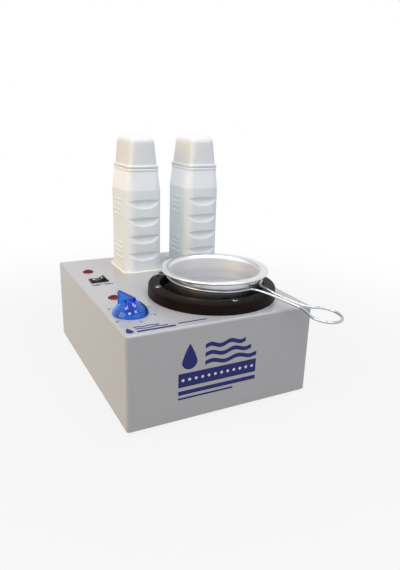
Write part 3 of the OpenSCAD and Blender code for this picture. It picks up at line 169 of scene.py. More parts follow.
def lofted(loops, closed=False, arcSteps=8, flatCuts=(0, 0)):
    # rounded rectangles (width, depth, radius, height) joined one to the next: they are
    # bridged well apart and then set to their heights, so that level ones join cleanly
    bm = bmesh.new()
    rings = [roundedLoop(bm, *size[:3], 10 * i, arcSteps, flatCuts) for i, size in enumerate(loops)]
    for lower, upper in zip(rings, rings[1:]):
        bmesh.ops.bridge_loops(bm, edges=lower + upper)
    if closed:
        bmesh.ops.bridge_loops(bm, edges=rings[-1] + rings[0])
    else:
        bmesh.ops.edgeloop_fill(bm, edges=rings[0])
        bmesh.ops.edgeloop_fill(bm, edges=rings[-1])
    for ring, size in zip(rings, loops):
        for edge in ring:
            for v in edge.verts:
                v.co.z = size[3] * mm
    return bm


def slab(bm, outline, thickness, matrix):
    # a flat outline of (x, y) in mm, given a thickness upwards
    face = bm.faces.new([bm.verts.new((x * mm, y * mm, 0)) for x, y in outline])
    grown = bmesh.ops.extrude_face_region(bm, geom=[face])["geom"]
    tops = [v for v in grown if isinstance(v, bmesh.types.BMVert)]
    bmesh.ops.translate(bm, verts=tops, vec=(0, 0, thickness * mm))
    whole = list(face.verts) + tops
    bmesh.ops.transform(bm, matrix=matrix, verts=whole)
    return whole


def rod(bm, radius, length, matrix, segments=32):
    # a round bar along the matrix's own Z, middle at its origin
    bmesh.ops.create_cone(bm, cap_ends=True, segments=segments, radius1=radius * mm, radius2=radius * mm,
                          depth=length * mm, matrix=matrix)


def block(bm, centre, size):
    # a rectangular block, in mm
    bmesh.ops.create_cube(bm, size=1, matrix=Matrix.Translation(Vector(centre) * mm)
                          @ Matrix.Diagonal((*(Vector(size) * mm), 1)))


def fromCurve(name, curve):
    # a wire or lettering, made a mesh before it is placed
    holder = bpy.data.objects.new(name, curve)
    bpy.context.collection.objects.link(holder)
    bpy.context.view_layer.update()
    bm = bmesh.new()
    bm.from_mesh(bpy.data.meshes.new_from_object(
        holder.evaluated_get(bpy.context.evaluated_depsgraph_get())))
    bpy.data.objects.remove(holder)
    return bm


def softenEdges(bm, widthMm):
    sharp = [e for e in bm.edges if e.is_manifold and e.calc_face_angle(0) > math.radians(30)]
    bmesh.ops.bevel(bm, geom=sharp, offset=widthMm * mm, affect="EDGES", segments=3,
                    profile=0.5, material=-1, clamp_overlap=True)


def joined(piece, cutter, operation, sharpDeg=35):
    # a boolean, applied at once, so that the piece keeps one plain mesh
    modifier = piece.modifiers.new("joint", "BOOLEAN")
    modifier.operation = operation
    modifier.object = cutter
    modifier.solver = "EXACT"
    bpy.context.view_layer.update()
    made = bpy.data.meshes.new_from_object(piece.evaluated_get(bpy.context.evaluated_depsgraph_get()))
    piece.modifiers.clear()
    piece.data = made
    bpy.data.objects.remove(cutter)
    for face in made.polygons:
        face.use_smooth = True
    made.set_sharp_from_angle(angle=math.radians(sharpDeg))
    return piece


def middle(node):
    # centre of a node's box, with its lowest and highest level, in mm
    low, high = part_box(node)
    return (low.x + high.x) / 2 / mm, (low.y + high.y) / 2 / mm, low.z / mm, high.z / mm


# stove enamel, sprayed on steel: an even grey gloss with faint orange peel
stoveEnamel, tree, shader = startMaterial("stoveEnamel", {
    "Base Color": linear("#b2b0af"), "Roughness": 0.36, "Coat Weight": 0.3, "Coat Roughness": 0.1})
grain(tree, shader, 2.2, 0.006)


def spunAluminium(name, centre, wallRadius, floorLevel):
    # spun aluminium: smooth and satin outside, its colour made a touch darker there as painted shade; inside,
    # turning lines that follow the radius and the height, a duller wall and a greyed floor
    material, tree, shader = startMaterial(name, {
        "Base Color": linear("#e8e9eb"), "Metallic": 1.0, "Roughness": 0.4})
    where = addNode(tree, "ShaderNodeTexCoord")
    centred = addNode(tree, "ShaderNodeMapping", {"Location": (-centre.x, -centre.y, 0)},
                      {"Vector": where.outputs["Object"]})
    parts = addNode(tree, "ShaderNodeSeparateXYZ", {}, {"Vector": centred.outputs[0]})
    flatPart = addNode(tree, "ShaderNodeCombineXYZ", {}, {"X": parts.outputs["X"], "Y": parts.outputs["Y"]})
    radius = addNode(tree, "ShaderNodeVectorMath", {"operation": "LENGTH"}, {0: flatPart.outputs[0]})
    along = addNode(tree, "ShaderNodeMath", {"operation": "ADD"},
                    {0: radius.outputs["Value"], 1: parts.outputs["Z"]})
    lines = addNode(tree, "ShaderNodeTexNoise",
                    {"noise_dimensions": "1D", "Scale": 1 / (3.0 * mm), "Detail": 2.0},
                    {"W": along.outputs[0]})
    inner = addNode(tree, "ShaderNodeMapRange", {"From Min": (wallRadius + 0.3) * mm,
                                                 "From Max": (wallRadius - 0.3) * mm},
                    {"Value": radius.outputs["Value"]})
    felt = addNode(tree, "ShaderNodeMix", {2: 0.5}, {0: inner.outputs[0], 3: lines.outputs[0]})
    dull = addNode(tree, "ShaderNodeMapRange", {"To Min": -0.08, "To Max": 0.14}, {"Value": felt.outputs[0]})
    rough = addNode(tree, "ShaderNodeMath", {"operation": "MULTIPLY_ADD", 1: 0.2, 2: 0.24},
                    {0: inner.outputs[0]})
    both = addNode(tree, "ShaderNodeMath", {"operation": "ADD"}, {0: rough.outputs[0], 1: dull.outputs[0]})
    tones = addNode(tree, "ShaderNodeMix", {"data_type": "RGBA", 6: linear("#dedfe1"), 7: linear("#fafafb")},
                    {0: felt.outputs[0]})
    low = addNode(tree, "ShaderNodeMapRange", {
        "From Min": (floorLevel + 12) * mm, "From Max": (floorLevel + 3) * mm, "To Max": 0.8},
        {"Value": parts.outputs["Z"]})
    greyed = addNode(tree, "ShaderNodeMix",
                     {"data_type": "RGBA", "blend_type": "MULTIPLY", 7: linear("#b4b4b5")},
                     {0: low.outputs[0], 6: tones.outputs[2]})
    # painted shade: the outside and the rim are multiplied a touch darker than the inside
    outer = addNode(tree, "ShaderNodeMath", {"operation": "SUBTRACT", 0: 1.0}, {1: inner.outputs[0]})
    paintedShadeOutside = addNode(tree, "ShaderNodeMix",
                   {"data_type": "RGBA", "blend_type": "MULTIPLY", 7: linear("#ececee")},
                   {0: outer.outputs[0], 6: greyed.outputs[2]})
    shallow = addNode(tree, "ShaderNodeMath", {"operation": "MULTIPLY_ADD", 1: 0.6, 2: 0.1},
                      {0: inner.outputs[0]})
    bump = addNode(tree, "ShaderNodeBump", {"Distance": 0.06 * mm},
                   {"Height": felt.outputs[0], "Strength": shallow.outputs[0]})
    tree.links.new(paintedShadeOutside.outputs[2], shader.inputs["Base Color"])
    tree.links.new(both.outputs[0], shader.inputs["Roughness"])
    tree.links.new(bump.outputs[0], shader.inputs["Normal"])
    return material


# stainless wire, drawn and polished: bright with a soft edge to its highlights
polishedWire, tree, shader = startMaterial("polishedWire", {
    "Base Color": linear("#b6b8bb"), "Metallic": 1.0, "Roughness": 0.24})
grain(tree, shader, 0.6, 0.004)

# compression-moulded phenolic: brown-black, fine pores, a dull sheen on top
blackPhenolic, tree, shader = startMaterial("blackPhenolic", {
    "Roughness": 0.45, "IOR": 1.6, "Specular IOR Level": 0.06})
mottle(tree, shader, "#110907", "#190d0a", 9.0)
grain(tree, shader, 0.9, 0.02)

# moulded polypropylene, white: satin, faintly see-through at the edges
whitePolypropylene, tree, shader = startMaterial("whitePolypropylene", {
    "Roughness": 0.38, "IOR": 1.49,
    "Subsurface Weight": 0.12, "Subsurface Radius": (1.0, 0.95, 0.85), "Subsurface Scale": 1.5 * mm})
mottle(tree, shader, "#eaefee", "#f0f4f3", 25.0)
grain(tree, shader, 1.2, 0.008)
# painted light: the base colour is made lighter above the grip, standing in for light that comes through the
# thin wall where no heater plate and bottle stand close behind
tones = shader.inputs["Base Color"].links[0].from_node
where = addNode(tree, "ShaderNodeTexCoord")
upward = addNode(tree, "ShaderNodeSeparateXYZ", {}, {"Vector": where.outputs["Object"]})
above = addNode(tree, "ShaderNodeMapRange", {"interpolation_type": "SMOOTHSTEP", "From Min": 206 * mm,
                                             "From Max": 208.5 * mm}, {"Value": upward.outputs["Z"]})
paintedLightAboveGrip = addNode(tree, "ShaderNodeMix", {"data_type": "RGBA", 7: linear("#fbfdfd")},
                  {0: above.outputs[0], 6: tones.outputs[2]})
tree.links.new(paintedLightAboveGrip.outputs[2], shader.inputs["Base Color"])

# the same resin without its white, frosted by the mould
frostedPolypropylene, tree, shader = startMaterial("frostedPolypropylene", {
    "Base Color": linear("#f4f5f2"), "Roughness": 0.5, "IOR": 1.49, "Transmission Weight": 0.1,
    "Subsurface Weight": 0.3, "Subsurface Radius": (1.0, 1.0, 0.9), "Subsurface Scale": 2 * mm})
grain(tree, shader, 1.0, 0.01)

# moulded ABS, cream
creamAbs, tree, shader = startMaterial("creamAbs", {"Roughness": 0.32, "IOR": 1.54})
mottle(tree, shader, "#eee9dc", "#f2eee2", 18.0)
grain(tree, shader, 1.0, 0.006)

# cast acrylic, deep blue and clear
blueAcrylic, tree, shader = startMaterial("blueAcrylic", {
    "Base Color": linear("#14ccff"), "Roughness": 0.02, "IOR": 1.49, "Transmission Weight": 1.0,
    "Specular IOR Level": 0.15})
depth = addNode(tree, "ShaderNodeVolumeAbsorption", {"Color": linear("#0478ff"), "Density": 180.0})
tree.links.new(depth.outputs[0], tree.nodes["Material Output"].inputs["Volume"])
grain(tree, shader, 3.0, 0.004)

# moulded polycarbonate lens, dark red
redPolycarbonate, tree, shader = startMaterial("redPolycarbonate", {
    "Base Color": linear("#6a1010"), "Roughness": 0.14, "IOR": 1.58, "Transmission Weight": 0.1,
    "Specular IOR Level": 0.08})
grain(tree, shader, 1.4, 0.02)

# glass-filled nylon, black and slightly glossy
blackNylon, tree, shader = startMaterial("blackNylon", {
    "Base Color": linear("#0e0e0f"), "Roughness": 0.25, "IOR": 1.53, "Specular IOR Level": 0.2})
grain(tree, shader, 0.7, 0.008)

# chromium plate, its colour darkened to grey as painted shade for the dark room it reflects, with a small
# glint
chromeDarkenedAsShade, tree, shader = startMaterial("chromeDarkenedAsShade", {
    "Base Color": linear("#8a8b8d"), "Metallic": 1.0, "Roughness": 0.22})
grain(tree, shader, 1.5, 0.002)

# zinc-plated sheet and screws: grey with a faint spangle
zincSteel, tree, shader = startMaterial("zincSteel", {
    "Base Color": linear("#a9adb0"), "Metallic": 1.0, "Roughness": 0.38})
spangle = grain(tree, shader, 6.0, 0.004)
spangleDull = addNode(tree, "ShaderNodeMapRange", {"To Min": 0.28, "To Max": 0.48},
                      {"Value": spangle.outputs[0]})
tree.links.new(spangleDull.outputs[0], shader.inputs["Roughness"])

# moulded rubber
footRubber, tree, shader = startMaterial("footRubber", {"Base Color": linear("#1a1a1a"), "Roughness": 0.75})
grain(tree, shader, 0.8, 0.03)

# cast and machined aluminium of the well and the heater plates
machinedAluminium, tree, shader = startMaterial("machinedAluminium", {
    "Base Color": linear("#c4c6c9"), "Metallic": 1.0, "Roughness": 0.35})
grain(tree, shader, 0.8, 0.01)

# steel-clad mica heater, straw-coloured by heat
heatedSteel, tree, shader = startMaterial("heatedSteel", {"Metallic": 1.0, "Roughness": 0.42})
mottle(tree, shader, "#7d7468", "#a08a66", 14.0)
grain(tree, shader, 3.0, 0.006)

# needled glass-fibre felt: long soft fibres
glassFibreFelt, tree, shader = startMaterial("glassFibreFelt", {"Roughness": 0.95, "Sheen Weight": 0.3})
mottle(tree, shader, "#d3cbb0", "#e2dcc6", 6.0)
grain(tree, shader, 1.5, 0.4, detail=6.0)

# drawn copper tube
drawnCopper, tree, shader = startMaterial("drawnCopper", {
    "Base Color": linear("#b8714c"), "Metallic": 1.0, "Roughness": 0.3})
grain(tree, shader, 1.0, 0.005)

# turned brass
turnedBrass, tree, shader = startMaterial("turnedBrass", {
    "Base Color": linear("#c9a45c"), "Metallic": 1.0, "Roughness": 0.28})
grain(tree, shader, 0.6, 0.005)

# nickel plate on the inlet's pins
nickelPlate, tree, shader = startMaterial("nickelPlate", {
    "Base Color": linear("#c9c5b9"), "Metallic": 1.0, "Roughness": 0.2})
grain(tree, shader, 0.6, 0.003)

# natural polypropylene bottle over amber wax
amberBottle, tree, shader = startMaterial("amberBottle", {
    "Roughness": 0.35, "IOR": 1.49, "Subsurface Weight": 0.2,
    "Subsurface Radius": (1.0, 0.6, 0.3), "Subsurface Scale": 3 * mm})
mottle(tree, shader, "#d3af6c", "#dfc183", 30.0)
grain(tree, shader, 1.2, 0.008)

# silicone-rubber sleeve of the high-temperature wire
siliconeSleeve, tree, shader = startMaterial("siliconeSleeve", {
    "Base Color": linear("#8a2a22"), "Roughness": 0.5, "Sheen Weight": 0.1})
grain(tree, shader, 0.6, 0.01)

# screen-printed epoxy ink, navy and white
navyInk, tree, shader = startMaterial("navyInk", {"Base Color": linear("#1b1c66"), "Roughness": 0.45,
                                                    "Specular IOR Level": 0.3})
grain(tree, shader, 0.5, 0.004)
whiteInk, tree, shader = startMaterial("whiteInk", {"Base Color": linear("#dcdde0"), "Roughness": 0.4})
grain(tree, shader, 0.5, 0.004)

slotMaterials = {
    "grey_enamel": stoveEnamel, "zinc_steel": zincSteel, "chromed_screws": chromeDarkenedAsShade,
    "black_rubber": footRubber, "black_plastic": blackNylon, "aluminium": machinedAluminium,
    "heater_steel": heatedSteel, "glass_fibre": glassFibreFelt, "bright_wire": polishedWire,
    "copper_tube": drawnCopper, "blue_acrylic": blueAcrylic, "brass": turnedBrass,
    "nickel_pins": nickelPlate, "red_lens": redPolycarbonate, "cream_plastic": creamAbs,
    "white_plastic": whitePolypropylene, "clear_plastic": amberBottle,
    "frosted_plastic": frostedPolypropylene, "cable_sleeve": siliconeSleeve}
for part in frame["record"]["subparts"]:
    cadNode = cadNodes[part["node"]]
    for materialSlot in cadNode.material_slots:
        materialSlot.material = slotMaterials[part["material_slot"]]
print("materials made")

# the levels and centres that the pieces share
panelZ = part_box("case_cover")[1].z / mm
potX, potY, potLow, potHigh = middle("wax_pot")
potCentre = Vector((potX, potY, 0)) * mm

pot = {"rim": 60.0, "body": 51.0, "wall": 1.2, "bead": 1.5, "foot": 6.0, "flare": 3.0, "mouth": 4.2}
inside = pot["body"] - pot["wall"]
outline = [(0, potLow)]
outline += arc(pot["body"] - pot["foot"], potLow + pot["foot"], pot["foot"], -90, 0, 10)
outline += arc(pot["body"] + pot["flare"], potHigh - pot["wall"] - pot["flare"], pot["flare"], 180, 90, 8)
outline += arc(pot["rim"] - pot["bead"], potHigh - pot["bead"], pot["bead"], -160, 90, 18)
outline += arc(inside + pot["mouth"], potHigh - pot["mouth"], pot["mouth"], 90, 180, 10)
outline += arc(pot["body"] - pot["foot"], potLow + pot["foot"], pot["foot"] - pot["wall"], 0, -90, 10)
outline += [(0, potLow + pot["wall"])]
spun = spunAluminium("spunAluminium", potCentre, pot["body"] - pot["wall"] / 2, potLow)
potPiece = finishMesh("waxPot", turned(outline, potCentre, 160), spun, 50)
place(potPiece, "pot", "aluminium", "wax_pot")
print("pot made")

ring = {"radius": 71.7, "edge": 2.5, "draft": 0.4, "topTo": 58.5, "hole": 56.6, "slopeHeight": 6.0,
        "pocket": 68.3, "pocketHeight": 1.6, "screwCircle": 62.6, "screwFrom": 174, "screws": 4,
        "recess": 3.8, "recessDepth": 1.4, "screwHole": 2.2}
ringX, ringY, ringLow, ringHigh = middle("well_ring")
ringCentre = Vector((ringX, ringY, 0)) * mm
edgeR = ring["radius"] - ring["draft"] - ring["edge"]
outline = [(ring["pocket"], ringLow), (ring["radius"], ringLow)]
outline += arc(edgeR, ringHigh - ring["edge"], ring["edge"], 0, 90, 8)
outline += arc(ring["topTo"] + 0.4, ringHigh - 0.6, 0.6, 90, 160, 3)
outline += [(ring["hole"], ringHigh - ring["slopeHeight"]), (ring["hole"], ringLow + ring["pocketHeight"]),
            (ring["pocket"], ringLow + ring["pocketHeight"])]
ringPiece = finishMesh("wellRing", turned(outline, ringCentre, 192), blackPhenolic)
# each screw has a flat recess for its head and a through hole
for radius, length, level in ((ring["recess"], 4, ringHigh - ring["recessDepth"] + 2),
                              (ring["screwHole"], 40, ringLow)):
    drills = bmesh.new()
    for i in range(ring["screws"]):
        turn = Matrix.Rotation(math.radians(ring["screwFrom"] + i * 360 / ring["screws"]), 4, "Z")
        rod(drills, radius, length, Matrix.Translation(ringCentre) @ turn
            @ Matrix.Translation((ring["screwCircle"] * mm, 0, level * mm)))
    joined(ringPiece, finishMesh("drills", drills, blackPhenolic), "DIFFERENCE")
place(ringPiece, "case", "black_plastic", "well_ring")
print("ring made")

handle = {"wire": 3.0, "direction": -61, "clipUp": 20.2, "clipTilt": 0.045, "clipOpen": 36, "clipEnd": 67.0,
          "clipRadius": 52.8, "rootGap": 8.0, "gap": 2.9, "armEnd": 108.5, "armDrop": 0.185,
          "loop": 17.3, "loopDrop": 0.11, "loopFrom": 145}
direction = math.radians(handle["direction"])
rootAngle = math.degrees(math.asin(handle["rootGap"] / handle["clipRadius"]))
rootS = handle["clipRadius"] * math.cos(math.radians(rootAngle))
narrowS = rootS + 22
loopS = handle["armEnd"] + math.sqrt(handle["loop"] ** 2 - handle["gap"] ** 2) + handle["loop"] * 0.35


def clipHeight(s):
    return handle["clipUp"] - handle["clipTilt"] * s


def armHeight(s):
    return clipHeight(rootS) - handle["armDrop"] * (s - rootS)


def loopHeight(s):
    return armHeight(handle["armEnd"]) - handle["loopDrop"] * (s - handle["armEnd"])


def handlePoint(s, t, up):
    # s runs out along the handle, t across it
    return Vector((potX + s * math.cos(direction) - t * math.sin(direction),
                   potY + s * math.sin(direction) + t * math.cos(direction), panelZ + up)) * mm


def clipPoint(degrees, radius):
    s, t = radius * math.cos(math.radians(degrees)), radius * math.sin(math.radians(degrees))
    return handlePoint(s, t, clipHeight(s))


def loopPoint(side, degrees):
    s = loopS + handle["loop"] * math.cos(math.radians(degrees))
    return handlePoint(s, side * handle["loop"] * math.sin(math.radians(degrees)), loopHeight(s))


def softBend(a, b, c, steps):
    shares = [i / steps for i in range(steps + 1)]
    return [a * (1 - u) ** 2 + b * 2 * u * (1 - u) + c * u ** 2 for u in shares]


def halfWire(side):
    # from the clip's free end to just before the tip of the loop
    free = 180 - handle["clipOpen"]
    points = softBend(clipPoint(side * (free - 8), handle["clipEnd"]),
                      clipPoint(side * free, handle["clipRadius"] + 2),
                      clipPoint(side * (free - 9), handle["clipRadius"]), 8)
    turn = free - 12
    while turn > rootAngle + 12:
        points.append(clipPoint(side * turn, handle["clipRadius"]))
        turn -= 4
    points += softBend(clipPoint(side * (rootAngle + 6), handle["clipRadius"]),
                       handlePoint(rootS, side * handle["rootGap"], clipHeight(rootS)),
                       handlePoint(rootS + 8, side * (handle["rootGap"] - 1.9), armHeight(rootS + 8)), 7)
    points += softBend(handlePoint(narrowS - 6, side * (handle["gap"] + 1.4), armHeight(narrowS - 6)),
                       handlePoint(narrowS, side * handle["gap"], armHeight(narrowS)),
                       handlePoint(narrowS + 8, side * handle["gap"], armHeight(narrowS + 8)), 4)
    armEnd = handle["armEnd"]
    points += softBend(handlePoint(armEnd - 6, side * handle["gap"], armHeight(armEnd - 6)),
                       handlePoint(armEnd, side * handle["gap"], armHeight(armEnd)),
                       loopPoint(side, handle["loopFrom"]), 5)
    return points + [loopPoint(side, handle["loopFrom"] * (1 - i / 20)) for i in range(1, 20)]


route = halfWire(-1) + [loopPoint(1, 0)] + halfWire(1)[::-1]
wireCurve = bpy.data.curves.new("wireRoute", "CURVE")
wireCurve.dimensions = "3D"
wireCurve.bevel_depth = handle["wire"] / 2 * mm
wireCurve.bevel_resolution = 5
wireCurve.resolution_u = 2
wireCurve.use_fill_caps = True
spline = wireCurve.splines.new("NURBS")
spline.points.add(len(route) - 1)
for point, at in zip(spline.points, route):
    point.co = (*at, 1)
spline.order_u = 4
spline.use_endpoint_u = True
place(finishMesh("potHandle", fromCurve("wireRoute", wireCurve), polishedWire, 50),
      "handle", "bright_wire", "pot_handle")
print("handle made")

knob = {"radius": 18.3, "height": 14.5, "wall": 2.2, "foot": 0.8, "boss": 5.4, "shaft": 3.1, "shaftTop": 10.4,
        "lift": 0.6, "finThick": 5.0, "finReach": 13.6, "finTop": 21.5, "finBack": 5.0, "direction": 130,
        "shoulder": 1.25, "crown": 1.35}
knobX, knobY = middle("thermostat_shaft")[:2]


def dome(radius, height, fromDeg, toDeg, steps):
    turns = [math.radians(fromDeg + (toDeg - fromDeg) * i / steps) for i in range(steps + 1)]
    return [(radius * max(math.cos(t), 0) ** knob["shoulder"],
             knob["foot"] + (height - knob["foot"]) * math.sin(t) ** knob["crown"]) for t in turns]


innerR, innerH = knob["radius"] - knob["wall"], knob["height"] - knob["wall"]
bossTurn = math.degrees(math.acos((knob["boss"] / innerR) ** (1 / knob["shoulder"])))
outline = dome(knob["radius"], knob["height"], 90, 0, 30)[:-1]
outline += [(knob["radius"], knob["foot"]), (knob["radius"] - 0.1, 0.15), (knob["radius"] - 0.4, 0)]
outline += [(innerR, 0)] + dome(innerR, innerH, 0, bossTurn, 20)
outline += [(knob["boss"], 0), (knob["shaft"], 0), (knob["shaft"], knob["shaftTop"]), (0, knob["shaftTop"])]
knobBase = panelZ + knob["lift"]
outline = [(r, z + knobBase) for r, z in outline]
outline[0] = (0, knobBase + knob["height"])
knobPiece = finishMesh("knob", turned(outline, Vector((knobX, knobY, 0)) * mm, 96), blueAcrylic, 40)
fin = bmesh.new()
finLine = [(-knob["finBack"], innerH), (knob["finReach"] - 4, innerH - 3.2), (knob["finReach"], 6.2),
           (knob["finReach"], knob["finTop"]), (-knob["finBack"], knob["height"] + 1.6)]
slab(fin, finLine, knob["finThick"], Matrix.Translation((knobX * mm, knobY * mm, knobBase * mm))
     @ Matrix.Rotation(math.radians(knob["direction"]), 4, "Z")
     @ Matrix.Translation((0, knob["finThick"] / 2 * mm, 0)) @ Matrix.Rotation(math.radians(90), 4, "X"))
bmesh.ops.recalc_face_normals(fin, faces=fin.faces)
softenEdges(fin, 0.5)
joined(knobPiece, finishMesh("fin", fin, blueAcrylic), "UNION", 40)
place(knobPiece, "knob", "blue_acrylic", "knob")
print("knob made")

hand = {"width": 48.0, "depth": 62.0, "corner": 12.0, "bottom": 92.3, "gripTop": 207.0, "shoulderTop": 230.0,
        "neck": (38.6, 58.6, 5.5), "rim": (40.2, 60.2, 6.3), "rimTop": 233.0, "bore": (35.6, 52.0, 5.5)}
grooves = {"lowest": 26.2, "pitch": 21.7, "count": 4, "depth": 1.9, "height": 11.2, "halfWidth": 21.0,
           "arch": 1.8, "reach": 23.0}
ribs = {"groups": (16.0, 70.0), "pitch": 6.4, "count": 4, "height": 2.2, "length": 26.0, "proud": 0.6,
        "ovalUp": 54.0, "ovalHalf": 11.0, "ovalWide": 6.5, "ovalProud": 0.3}


def grooveDepth(u, up):
    # a lens-shaped scoop: its upper edge almost straight, its lower one bowed down
    narrowing = 1 - abs(u / grooves["halfWidth"]) ** 2.8
    if narrowing <= 0:
        return 0.0
    half = grooves["height"] / 2 * narrowing
    for i in range(grooves["count"]):
        down = grooves["lowest"] + i * grooves["pitch"] - grooves["arch"] * (1 - narrowing) - up
        across = down / half - 1
        if abs(across) < 1:
            return grooves["depth"] * narrowing ** 0.8 * (1 - across ** 2)
    return 0.0


def ribHeight(v, up):
    raised = 0.0
    half = ribs["height"] / 2
    over = max(abs(v) - ribs["length"] / 2 + half, 0)
    for low in ribs["groups"]:
        for i in range(ribs["count"]):
            away = math.hypot(up - low - i * ribs["pitch"], over) / half
            if away < 1:
                raised = max(raised, ribs["proud"] * math.sqrt(1 - away * away))
    # a faint pointed oval between the two groups
    along = (up - ribs["ovalUp"]) / ribs["ovalHalf"]
    if abs(along) < 1.1:
        off = abs(v) - ribs["ovalWide"] * (1 - along * along)
        raised = max(raised, ribs["ovalProud"] * math.exp(-(off / 0.9) ** 2))
    return raised


gripLoops = 250
loops = [(hand["width"] - 0.8, hand["depth"] - 0.8, hand["corner"] - 0.4, hand["bottom"]),
         (hand["width"], hand["depth"], hand["corner"], hand["bottom"] + 0.4)]
gripFrom = hand["bottom"] + 1
gripSize = (hand["width"], hand["depth"], hand["corner"])
loops += [(*gripSize, gripFrom + (hand["gripTop"] - gripFrom) * i / gripLoops) for i in range(gripLoops + 1)]
for i in range(1, 9):
    f = i / 8
    loops.append((*(a + (b - a) * f for a, b in zip(gripSize, hand["neck"])),
                  hand["gripTop"] + (hand["shoulderTop"] - hand["gripTop"]) * f))
rimW, rimD, rimR = hand["rim"]
boreW, boreD, boreR = hand["bore"]
loops += [(rimW - 0.4, rimD - 0.4, rimR - 0.2, hand["shoulderTop"] + 0.02),
          (rimW, rimD, rimR, hand["shoulderTop"] + 0.3), (rimW, rimD, rimR, hand["rimTop"] - 0.5),
          (rimW - 0.3, rimD - 0.3, rimR - 0.15, hand["rimTop"] - 0.15),
          (rimW - 1, rimD - 1, rimR - 0.5, hand["rimTop"]),
          (boreW + 0.8, boreD + 0.8, boreR + 0.4, hand["rimTop"]),
          (boreW, boreD, boreR, hand["rimTop"] - 0.4), (boreW, boreD, boreR, hand["bottom"])]
shell = lofted(loops, closed=True, arcSteps=13, flatCuts=(23, 38))
for v in shell.verts:
    x, y, up = v.co.x / mm, v.co.y / mm, v.co.z / mm - panelZ
    if v.co.z / mm < gripFrom or v.co.z / mm > hand["gripTop"] - 0.1:
        continue
    inward = hand["depth"] / 2 - abs(y)
    if abs(x) < grooves["reach"] and inward < hand["corner"]:
        v.co.y = math.copysign((abs(y) - grooveDepth(x, up)) * mm, y)
    if hand["width"] / 2 - abs(x) < 0.01:
        v.co.x = math.copysign((abs(x) + ribHeight(y, up)) * mm, x)
for side in ("left", "right"):
    handX, handY = middle("handpiece_base_" + side)[:2]
    copied = shell.copy()
    bmesh.ops.translate(copied, verts=copied.verts, vec=(handX * mm, handY * mm, 0))
    piece = finishMesh("housing" + side.title(), copied, whitePolypropylene, 50)
    plateLow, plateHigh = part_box("heater_plate_" + side)
    recess = bmesh.new()
    room = 0.1 * mm
    size = plateHigh - plateLow + Vector((2 * mm, 2 * room, 2 * room))
    bmesh.ops.create_cube(recess, size=1, matrix=Matrix.Translation(
        plateLow + size / 2 - Vector((room, room, room))) @ Matrix.Diagonal((*size, 1)))
    joined(piece, finishMesh("recess", recess, whitePolypropylene), "DIFFERENCE", 50)
    place(piece, "handpiece_" + side, "white_plastic", "housing_" + side)
shell.free()
print("housings made")

cap = {"width": 36.0, "depth": 57.0, "corner": 5.0, "height": 34.0, "taper": 2.4, "topRadius": 9.0,
       "wall": 1.2, "flange": 3.0, "skirt": (34.9, 51.3, 5.0), "skirtHeight": 4.0}


def capLoops(inset, bodyZ):
    # from the bottom of the body to its top, drawn in by the wall for the hollow
    wide, deep = cap["width"] - 2 * inset, cap["depth"] - 2 * inset
    corner, crown = cap["corner"] - inset, cap["topRadius"] - inset
    straight = cap["height"] - inset - crown
    rising = []
    for i in range(9):
        f = i / 8
        rising.append((wide - cap["taper"] * f, deep - cap["taper"] * f, corner + (crown - corner) * f,
                       bodyZ + straight * f))
    for degrees in range(10, 90, 8):
        t = math.radians(degrees)
        drawn = 2 * crown * (1 - math.cos(t))
        rising.append((wide - cap["taper"] - drawn, deep - cap["taper"] - drawn, crown * math.cos(t),
                       bodyZ + straight + crown * math.sin(t)))
    return rising


capLow = middle("cap_left")[2]
bodyZ = capLow + cap["skirtHeight"] + cap["flange"]
skirtW, skirtD, skirtR = cap["skirt"]
loops = capLoops(cap["wall"], bodyZ + 0.3)[::-1]
loops += [(skirtW - 2.4, skirtD - 2.4, skirtR - 1.2, bodyZ - 0.2),
          (skirtW - 2.4, skirtD - 2.4, skirtR - 1.2, capLow),
          (skirtW - 0.6, skirtD - 0.6, skirtR - 0.3, capLow), (skirtW, skirtD, skirtR, capLow + 0.4),
          (skirtW, skirtD, skirtR, bodyZ - cap["flange"]),
          (rimW - 0.6, rimD - 0.6, rimR - 0.3, bodyZ - cap["flange"]),
          (rimW, rimD, rimR, bodyZ - cap["flange"] + 0.3), (rimW, rimD, rimR, bodyZ - 0.7),
          (rimW - 0.3, rimD - 0.3, rimR - 0.15, bodyZ - 0.25), (rimW - 1, rimD - 1, rimR - 0.5, bodyZ),
          (cap["width"] + 0.9, cap["depth"] + 0.9, cap["corner"] + 0.45, bodyZ),
          (cap["width"] + 0.2, cap["depth"] + 0.2, cap["corner"] + 0.1, bodyZ + 0.3)]
outer = capLoops(0, bodyZ)
loops += [(outer[0][0] - 0.02, outer[0][1] - 0.02, outer[0][2], bodyZ + 0.9)] + outer[1:]
for side in ("left", "right"):
    capX, capY = middle("cap_" + side)[:2]
    bm = lofted(loops, arcSteps=10)
    bmesh.ops.translate(bm, verts=bm.verts, vec=(capX * mm, capY * mm, 0))
    place(finishMesh("cap" + side.title(), bm, frostedPolypropylene, 50), "cap_" + side, "frosted_plastic",
          "cap_" + side)
print("caps made")

dock = {"inner": (49.0, 63.0, 12.5), "cup": (52.6, 66.6, 14.3), "lip": (56.6, 70.6, 16.3), "lipHeight": 2.6,
        "edge": 1.3, "depth": 20.0, "floor": 3.0, "tab": (10.0, 1.0, 5.0), "sheet": 1.2}
lipW, lipD, lipR = dock["lip"]
inW, inD, inR = dock["inner"]
loops = [(*dock["cup"], panelZ - dock["depth"]), (*dock["cup"], panelZ), (*dock["lip"], panelZ)]
for degrees in range(0, 91, 15):
    drawn = dock["edge"] * (1 - math.cos(math.radians(degrees)))
    loops.append((lipW - 2 * drawn, lipD - 2 * drawn, lipR - drawn,
                  panelZ + dock["lipHeight"] - dock["edge"] * (1 - math.sin(math.radians(degrees)))))
loops += [(inW + 1.4, inD + 1.4, inR + 0.7, panelZ + dock["lipHeight"]),
          (inW + 0.4, inD + 0.4, inR + 0.2, panelZ + dock["lipHeight"] - 0.25),
          (inW, inD, inR, panelZ + dock["lipHeight"] - 0.8),
          (inW, inD, inR, panelZ - dock["depth"] + dock["floor"])]
